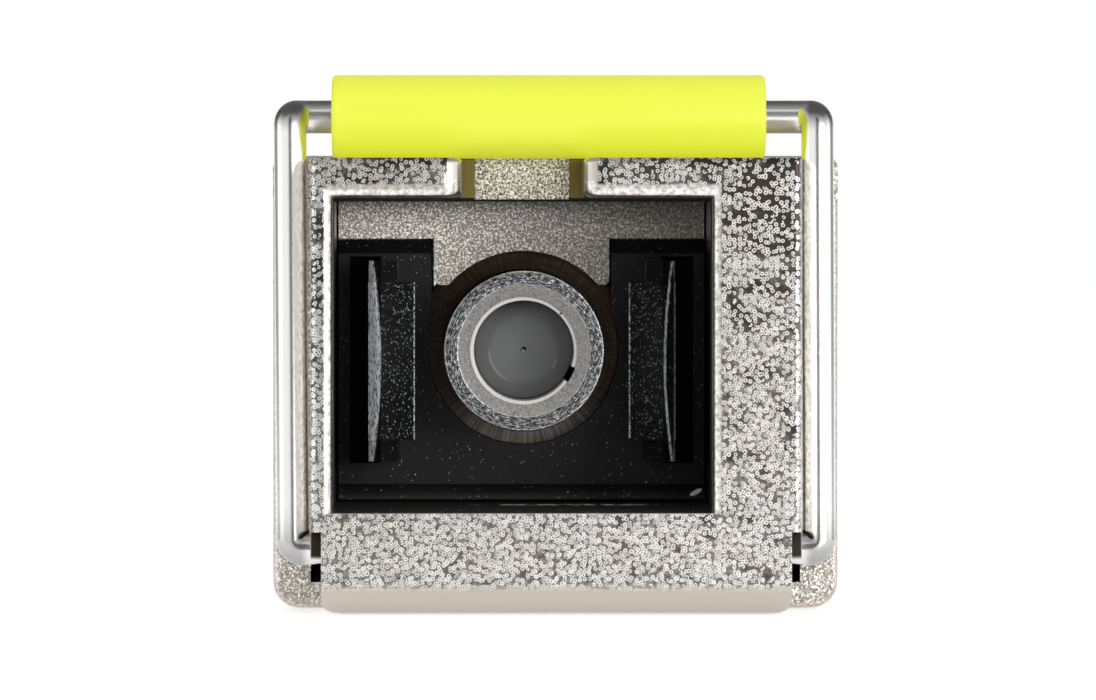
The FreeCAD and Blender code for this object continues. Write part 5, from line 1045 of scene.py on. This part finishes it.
    def slit_sleeve(self, look, front, rear, stub_face, material):
        """Closed wall profile turned from one side of the slit round to the other, with both ends filled.

        A point at radius r, depth y and angle a lies at (x0 + r cos a, y, z0 + r sin a).
        """
        step = stub_face - self.CLEARANCE
        profile = rounded_profile(np.array([
            (self.SLEEVE_BORE, front), (self.SLEEVE_OUTSIDE, front), (self.SLEEVE_OUTSIDE, rear),
            (self.SLEEVE_REAR_BORE, rear), (self.SLEEVE_REAR_BORE, step),
            (self.SLEEVE_BORE, step - self.SLEEVE_TAPER)]) * MM, 0.03 * MM, 3)
        half = look.slit / 2 / (self.SLEEVE_MIDDLE * MM)
        angle = np.linspace(half, FULL_TURN - half, 160)[:, None] - look.slit_turn
        middle = np.broadcast_to(profile.mean(0), profile.shape)
        rows = np.stack([middle, *[profile] * len(angle), middle])
        angle = np.concatenate([angle[:1], angle, angle[-1:]])
        r, y = rows[..., 0], rows[..., 1]
        points = np.stack([PORT_AXIS[0] + r * np.cos(angle), y, PORT_AXIS[1] + r * np.sin(angle)], -1)
        return surface("slit_sleeve", points, material, sharp=40)


class DressOptics(bpy.types.Operator):
    """Finish the optics block, the cans, the lenses, the filter, the leads and the flexible strips"""
    bl_idname = "transceiver.dress_optics"
    bl_label = "Optics"

    def execute(self, context):
        look = context.scene.transceiver_board
        steel = context.scene.transceiver_receptacle.steel
        dress(turned_metal("block_steel", steel, solid(steel, 0.5), roughness=0.3, lines=9000.0),
              "optics_block")
        dress(satin_metal("nickel_can", look.can, roughness=0.22, grains=12000.0),
              "laser_can", "receiver_can")
        dress(clear_glass("clear_glass", look.glass), "laser_lens", "receiver_lens", "wavelength_filter")
        dress(satin_metal("gold_lead", look.gold, roughness=0.25, grains=14000.0),
              "laser_leads", "receiver_leads")
        dress(moulded_plastic("amber_film", look.film, roughness=0.3, grains=9000.0, dust=0.01),
              "laser_flex", "receiver_flex")
        return {"FINISHED"}


class DressBoard(bpy.types.Operator):
    """Finish the board, its contacts and the pieces that stand on it"""
    bl_idname = "transceiver.dress_board"
    bl_label = "Board"

    def execute(self, context):
        look = context.scene.transceiver_board
        self.coat_board(look)
        dress(satin_metal("gold_plate", look.gold, roughness=0.22, grains=15000.0), "contact_pads")
        dress(moulded_plastic("chip_black", look.chip, roughness=0.5, grains=16000.0, dust=0.015, bump=0.5),
              "driver_chip", "controller_chip", "memory_chip", "chip_resistors")
        dress(moulded_plastic("grey_pad", look.pad, roughness=0.8, grains=9000.0, dust=0.0, bump=0.5),
              "thermal_pad")
        dress(fired_ceramic("tan_ceramic", look.tan, look.tan_shade, roughness=0.4), "chip_capacitors")
        dress(fired_ceramic("dark_ferrite", look.ferrite, look.ferrite_shade, roughness=0.5),
              "supply_inductors")
        return {"FINISHED"}

    def coat_board(self, look):
        """Green coating over a woven ground, with paler tracks that waver along the board."""
        material, tree, shader, where = new_material("green_board")
        waver = product(tree, calc(tree, "SUBTRACT", noise(tree, where, 260.0, 1.0), 0.5), 1.2 * MM)
        lanes = calc(tree, "PINGPONG", calc(tree, "ADD", parts_of(tree, where)[0], waver), 0.22 * MM)
        tracks = product(tree, soft_step(tree, lanes, 0.1 * MM, 0.13 * MM),
                         soft_step(tree, noise(tree, where, 330.0, 1.0), 0.45, 0.5))
        weave = noise(tree, vector_calc(tree, "MULTIPLY", where, (9000.0, 2500.0, 9000.0)), 1.0, 2.0)
        coat = tint(tree, weave, solid(look.mask, 0.8), solid(look.mask, 1.2))
        feed(tree, shader, Base_Color=tint(tree, tracks, coat, solid(look.mask, 2.1)),
             Roughness=spread(tree, weave, 0.28, 0.42), Coat_Weight=0.25,
             Normal=relief(tree, tracks, 0.4, 0.02))
        dress(material, "circuit_board")


class MakeBail(bpy.types.Operator):
    """Bend the wire and mould the yellow sleeve on it"""
    bl_idname = "transceiver.make_bail"
    bl_label = "Bail"

    # Places with a look of their own, as bounds for region(), in millimetres.
    UPPER_BENDS = (("z", 11.85, None, 0.3), ("wide", 6.05, None, 0.15))
    CROWN = ("z", 12.225, None, 0.125)
    FEET = (("z", None, 1.95, 0.75), ("wide", 6.05, None, 0.15))
    PIVOTS = ("wide", None, 5.925, 0.025)
    UV_LENGTH = 0.1
    BEND_STEPS = 16
    DOME_STEPS = 7
    RIM_ROUND = 0.06 * MM

    def execute(self, context):
        stand_for(self.bent_wire(context.scene.transceiver_bail), "bail", "bail_wire")
        sleeve = self.yellow_sleeve(context.scene.transceiver_plastics)
        stand_for(sleeve, "bail", "bail_sleeve")
        return {"FINISHED"}

    def wire_finish(self, look):
        """Drawn wire: fine lines along it, faint clouds, a painted dark reflection on the upper bends and the
        crown, darker feet, and painted shade on the pivots.
        """
        material, tree, shader, where = new_material("bail_steel")
        along = node(tree, "ShaderNodeUVMap", uv_map="UVMap").outputs["UV"]
        drawn = noise(tree, vector_calc(tree, "MULTIPLY", along, (900.0, 90.0, 1.0)), 1.0, 3.0, 0.6)
        clouds = noise(tree, where, 600.0, 3.0, 0.6)
        spot = spot_of(tree, where)
        pivot = look.pivot[2] / MM
        # Painted shade: the pivots inside the housing's slots turn near black and lose their metal.
        shaded_pivots = region(tree, spot, self.PIVOTS, ("z", pivot - 0.2, pivot + 1.0, 0.06))
        # Painted dark reflection on the upper bends and the crown; the feet are made darker as well.
        dark_reflection = most(tree, region(tree, spot, *self.UPPER_BENDS), region(tree, spot, self.CROWN))
        steel = tint(tree, drawn, solid(look.colour, 0.88), solid(look.colour))
        for mask, dark, pale in ((dark_reflection, 0.08, 0.3), (region(tree, spot, *self.FEET), 0.3, 0.6)):
            darker_tone = tint(tree, drawn, solid(look.colour, dark), solid(look.colour, pale))
            steel = tint(tree, mask, steel, darker_tone)
        feed(tree, shader, Metallic=opposite(tree, shaded_pivots),
             Base_Color=tint(tree, shaded_pivots, steel, solid(look.grime)),
             Roughness=most(tree, spread(tree, clouds, 0.2, 0.27), shaded_pivots),
             Normal=relief(tree, drawn, 0.1, 0.01))
        return material

    def bent_wire(self, look):
        """Round wire along a path with tight bends, whose arms stand a little before the bar in the sleeve.

        The path runs straight from corner to corner, with an arc at each: S + R (n (1 - cos a) + u sin a),
        where u is the way in and n points to the arc's middle. Both ends are domed, and the pivots get their
        cam flats by raising what lies under the flat to it.
        """
        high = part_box("bail_wire")[1]
        sleeve_low, sleeve_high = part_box("bail_sleeve")
        arm = high.x - look.radius
        wide = arm + look.splay
        inner = look.pivot_end + look.dome
        y0, z0 = look.pivot[1], look.pivot[2]
        y1, z1 = halfway(sleeve_low.y, sleeve_high.y), high.z - look.radius
        back, near = look.set_back, y1 - look.set_back
        corner = np.array([(-inner, y0, z0), (-arm, y0, z0), (-wide, near, z1), (back - wide, y1, z1),
                           (arm - back, y1, z1), (arm, near, z1), (arm, y0, z0), (inner, y0, z0)])
        leg = unit(np.diff(corner, axis=0))
        into, onward = leg[:-1, None], leg[1:, None]
        turn = np.arccos((into * onward).sum(-1, keepdims=True))
        normal = (onward - into * np.cos(turn)) / np.sin(turn)
        swing = turn * np.linspace(0.0, 1.0, self.BEND_STEPS)[None, :, None]
        start = corner[1:-1, None] - into * look.bend * np.tan(turn / 2)
        arc = (start + look.bend * (normal * (1 - np.cos(swing)) + into * np.sin(swing))).reshape(-1, 3)
        arc_way = (into * np.cos(swing) + normal * np.sin(swing)).reshape(-1, 3)
        bow = np.linspace(0.0, math.pi / 2, self.DOME_STEPS)[:, None]
        path = np.concatenate([corner[:1] - leg[:1] * look.dome * np.cos(bow), arc,
                               corner[-1:] + leg[-1:] * look.dome * np.sin(bow)])
        way = np.concatenate([leg[:1] + 0 * bow, arc_way, leg[-1:] + 0 * bow])
        thick = look.radius * np.concatenate([np.sin(bow), np.ones((len(arc), 1)), np.cos(bow)])
        aside = unit(np.cross(way, (0.0, 1.0, 0.0)))
        points = round_path(path, aside, np.cross(aside, way), thick, 64)
        on_cam = (np.abs(points[..., 0]) < look.flat_reach) & (points[..., 2] < z0 + 2 * look.radius)
        points[..., 2] = np.where(on_cam, np.maximum(points[..., 2], z0 - look.flat), points[..., 2])
        run = np.concatenate([[0.0], np.cumsum(np.linalg.norm(np.diff(path, axis=0), axis=1))])
        turns = np.linspace(0.0, 1.0, points.shape[1] + 1)
        return surface("bent_wire", points, self.wire_finish(look), sharp=60,
                       uv=(run / self.UV_LENGTH, turns))

    def yellow_sleeve(self, look):
        """Tube profile with rounded rims turned about the bar: (x, y0 + r cos a, z0 + r sin a)."""
        low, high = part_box("bail_sleeve")
        outside, bore = (high.z - low.z) / 2, look.sleeve_bore
        profile = rounded_profile([(bore, low.x), (outside, low.x), (outside, high.x), (bore, high.x)],
                                  [self.RIM_ROUND, look.sleeve_round, look.sleeve_round, self.RIM_ROUND], 9)
        across, up, x = carried_round(profile, 128)
        points = np.stack([x, halfway(low.y, high.y) + across, halfway(low.z, high.z) + up], -1)
        return surface("yellow_sleeve", points, self.sleeve_finish(look), sharp=50)

    def sleeve_finish(self, look):
        """Fluorescent plastic: faint clouds, a fine skin, a few specks and a painted glow that stands for its
        fluorescence and evens out its shading.
        """
        material, tree, shader, where = new_material("yellow_plastic")
        clouds = noise(tree, where, 350.0, 3.0, 0.6)
        grain = effect(tree, "Skin grain", Vector=where, Scale=9000.0)["Height"]
        specks = effect(tree, "Loose dust", Vector=where, Scale=2500.0, Amount=0.01)["Specks"]
        body = tint(tree, clouds, solid(look.sleeve_colour, 0.96), solid(look.sleeve_colour, 1.03))
        # Painted glow: the emission stands for fluorescence and lifts the shading.
        feed(tree, shader, Base_Color=tint(tree, product(tree, specks, 0.25), body, solid(look.sleeve_dust)),
             Roughness=spread(tree, clouds, 0.3, 0.42), Emission_Color=solid(look.sleeve_glow),
             Emission_Strength=0.5, Normal=relief(tree, grain, 0.06, 0.02))
        return material


class MakeLatch(bpy.types.Operator):
    """Coil the spring, which the rocker presses together, and finish the rocker and its pin"""
    bl_idname = "transceiver.make_latch"
    bl_label = "Latch"

    STEPS_PER_TURN = 48
    DOME_STEPS = 4

    def execute(self, context):
        look = context.scene.transceiver_fasteners
        dress(satin_metal("latch_steel", look.latch_colour, roughness=0.3, grains=12000.0, bump=0.3),
              "latch_lever", "latch_pin")
        low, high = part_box("latch_spring")
        spring = self.coiled_spring(look, low, high)
        stand_for(spring, "module", "latch_spring")
        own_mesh(spring)
        return {"FINISHED"}

    def coiled_spring(self, look, low, high):
        """Round wire along a helix: the path is (R cos t, y0 + R sin t, z0 + rise t), with domed ends."""
        coil = (high.y - low.y) / 2 - look.spring_wire
        steps = self.STEPS_PER_TURN * look.spring_turns
        turn = np.linspace(0.0, FULL_TURN * look.spring_turns, steps + 1)[:, None]
        rise = (high.z - low.z - 2 * look.spring_wire) / turn[-1]
        out = np.concatenate([np.cos(turn), np.sin(turn), 0 * turn], 1)
        way = unit(np.concatenate([-coil * np.sin(turn), coil * np.cos(turn), rise + 0 * turn], 1))
        foot = (0.0, halfway(low.y, high.y), low.z + look.spring_wire)
        path = foot + coil * out + turn * rise * (0.0, 0.0, 1.0)
        bow = np.linspace(0.0, math.pi / 2, self.DOME_STEPS, endpoint=False)[:, None]
        dome = look.spring_wire * np.cos(bow) / 2
        path = np.concatenate([path[:1] - way[:1] * dome, path, path[-1:] + way[-1:] * dome[::-1]])
        out = np.concatenate([out[:1] + 0 * bow, out, out[-1:] + 0 * bow])
        way = np.concatenate([way[:1] + 0 * bow, way, way[-1:] + 0 * bow])
        thick = look.spring_wire * np.concatenate([np.sin(bow), np.ones_like(turn), np.sin(bow[::-1])])
        material = satin_metal("spring_steel", look.spring_colour, roughness=0.25, grains=18000.0)
        points = round_path(path, out, np.cross(out, way), thick, 24)
        return surface("coiled_spring", points, material, sharp=60)


class BuildStage(bpy.types.Operator):
    """Set the floor, the cards that the metal mirrors, the light and the camera"""
    bl_idname = "transceiver.build_stage"
    bl_label = "Stage"

    FLOOR_REACH = 6.0
    FLOOR_LEVEL = -0.00005
    # Edges of the cards, in metres.
    FRONT, REAR, HIGH, SIDE = FACE_Y - 0.59, 0.6, 0.5, 0.5
    STEM, HOOD, BRIM, EAVES = 0.11, 0.6, 0.12, -0.45
    MAT_LEFT, MAT_REAR, MAT_LIFT = -0.08, FACE_Y - 0.03, 0.0002
    SIDE_NEAR, LIGHT_NEAR, LIGHT_FAR, LIGHT_TOP = 0.08, FACE_Y - 0.2, FACE_Y + 0.06, 0.25

    def execute(self, context):
        look = context.scene.transceiver_stage
        self.floor(look)
        self.cards()
        self.world(context.scene, look)
        self.lamps(context.scene, look)
        data = bpy.data.cameras.new("photo_camera")
        data.lens = look.lens
        data.sensor_width = 36.0
        data.clip_start = MM
        camera = bpy.data.objects.new("photo_camera", data)
        self.aim(camera, look.eye, look.aim)
        context.scene.collection.objects.link(camera)
        context.scene.camera = camera
        context.scene.view_settings.view_transform = "Standard"
        return {"FINISHED"}

    def aim(self, thing, place, target):
        """Put a lamp or the camera in its place and turn it to a target."""
        thing.location = place
        thing.rotation_euler = (Vector(target) - Vector(place)).to_track_quat("-Z", "Y").to_euler()

    def sheet(self, name, low, high, material):
        """Upright or level rectangle between two opposite corners."""
        level = low[2] == high[2]
        second = (high[0], low[1] if level else high[1], low[2])
        fourth = (low[0], high[1] if level else low[1], high[2])
        mesh = bpy.data.meshes.new(name)
        mesh.from_pydata([low, second, high, fourth], [], [(0, 1, 2, 3)])
        mesh.materials.append(material)
        made = bpy.data.objects.new(name, mesh)
        bpy.context.scene.collection.objects.link(made)
        return made

    def seen(self, tree):
        """1 for rays from the camera, off shiny surfaces and through glass."""
        path = node(tree, "ShaderNodeLightPath").outputs
        return calc(tree, "ADD", calc(tree, "ADD", path["Is Camera Ray"], path["Is Glossy Ray"]),
                    path["Is Transmission Ray"], clamp=True)

    def floor(self, look):
        """White floor that takes the shadow; its glow makes it white to the eye and in reflections."""
        material, tree = bare_material("white_floor")
        matt = node(tree, "ShaderNodeBsdfDiffuse", {"Color": solid(look.floor)})
        glow = node(tree, "ShaderNodeEmission", {"Strength": product(tree, self.seen(tree), look.floor_glow)})
        both = node(tree, "ShaderNodeAddShader", {0: matt.outputs[0], 1: glow.outputs[0]})
        node(tree, "ShaderNodeOutputMaterial", {"Surface": both.outputs[0]})
        reach, level = self.FLOOR_REACH, self.FLOOR_LEVEL
        self.sheet("floor", (-reach, -reach, level), (reach, reach, level), material)

    def cards(self):
        """Cards that only shiny surfaces see.

        Dark ones are a stem and a mat in front, a hood behind, a roof and one at each rear side. A bright one
        stands at each side of the nose.
        """
        sheets = [
            ("front_stem", 0.05, (-self.STEM, self.FRONT, 0.0), (self.STEM, self.FRONT, self.HIGH)),
            ("rear_hood", 0.4, (-self.HOOD, self.REAR, self.BRIM), (self.HOOD, self.REAR, self.HIGH)),
            ("roof_hood", 0.42, (-self.HOOD, self.EAVES, self.HIGH), (self.HOOD, self.REAR, self.HIGH)),
            ("front_mat", 0.15, (self.MAT_LEFT, self.FRONT, self.MAT_LIFT),
             (0.0, self.MAT_REAR, self.MAT_LIFT))]
        for name, x in (("left", -self.SIDE), ("right", self.SIDE)):
            sheets += [
                (name + "_rear_card", 0.25, (x, self.SIDE_NEAR, 0.0), (x, self.REAR, self.HIGH)),
                (name + "_light", 1.5, (x, self.LIGHT_NEAR, 0.0), (x, self.LIGHT_FAR, self.LIGHT_TOP))]
        for name, strength, low, high in sheets:
            material, tree = bare_material(name)
            glow = node(tree, "ShaderNodeEmission", {"Strength": strength})
            node(tree, "ShaderNodeOutputMaterial", {"Surface": glow.outputs[0]})
            card = self.sheet(name, low, high, material)
            for rays in ("camera", "diffuse", "shadow", "transmission"):
                setattr(card, "visible_" + rays, False)

    def world(self, scene, look):
        """White to the eye and in reflections, softer as light on matt surfaces."""
        world = bpy.data.worlds.new("white_room")
        world.use_nodes = True
        tree = world.node_tree
        tree.nodes.clear()
        strength = calc(tree, "ADD", look.sky, product(tree, self.seen(tree), 1.0 - look.sky))
        back = node(tree, "ShaderNodeBackground", {"Color": (1.0, 1.0, 1.0, 1.0), "Strength": strength})
        node(tree, "ShaderNodeOutputWorld", {"Surface": back.outputs[0]})
        scene.world = world

    def lamps(self, scene, look):
        """Tall soft box at the front right, and a low broad one in front that shiny surfaces don't see."""
        target = (0.0, FACE_Y, 6 * MM)
        for name, place, width, height, power, shiny in (
                ("key_lamp", (0.3, FACE_Y - 0.5, 0.05), 0.36, 0.2, look.key, True),
                ("fill_lamp", (0.1, FACE_Y - 0.56, 0.025), 0.4, 0.04, look.fill, False)):
            data = bpy.data.lights.new(name, "AREA")
            data.shape = "RECTANGLE"
            data.size = width
            data.size_y = height
            data.energy = power
            lamp = bpy.data.objects.new(name, data)
            self.aim(lamp, place, target)
            lamp.visible_glossy = shiny
            scene.collection.objects.link(lamp)


class TransceiverPanel(bpy.types.Panel):
    """Buttons of the transceiver's pieces and their settings"""
    bl_idname = "VIEW3D_PT_transceiver"
    bl_label = "Transceiver"
    bl_space_type = "VIEW_3D"
    bl_region_type = "UI"
    bl_category = "Transceiver"

    def draw(self, context):
        for step in STEPS:
            self.layout.operator(step.bl_idname)
        for name, kind in SETTINGS.items():
            box = self.layout.box()
            for field in kind.__annotations__:
                box.prop(getattr(context.scene, name), field)


SETTINGS = {
    "transceiver_stage": StageSettings,
    "transceiver_castings": CastingSettings,
    "transceiver_plastics": PlasticSettings,
    "transceiver_receptacle": ReceptacleSettings,
    "transceiver_bail": BailSettings,
    "transceiver_fasteners": FastenerSettings,
    "transceiver_board": BoardSettings,
}
STEPS = (BuildStage, DressCastings, MakeScrews, DressPlugFrame, MakeReceptacle, DressOptics, DressBoard,
         MakeBail, MakeLatch)


def register():
    """Add the settings, the operators and the panel."""
    for name, kind in SETTINGS.items():
        bpy.utils.register_class(kind)
        setattr(bpy.types.Scene, name, PointerProperty(type=kind))
    for kind in (*STEPS, TransceiverPanel):
        bpy.utils.register_class(kind)


def unregister():
    """Take the panel, the operators and the settings away again."""
    for kind in (TransceiverPanel, *reversed(STEPS)):
        bpy.utils.unregister_class(kind)
    for name, kind in reversed(SETTINGS.items()):
        delattr(bpy.types.Scene, name)
        bpy.utils.unregister_class(kind)


def main():
    """Register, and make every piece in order."""
    register()
    for step in STEPS:
        family, call = step.bl_idname.split(".")
        getattr(getattr(bpy.ops, family), call)()


if __name__ == "__main__":
    main()
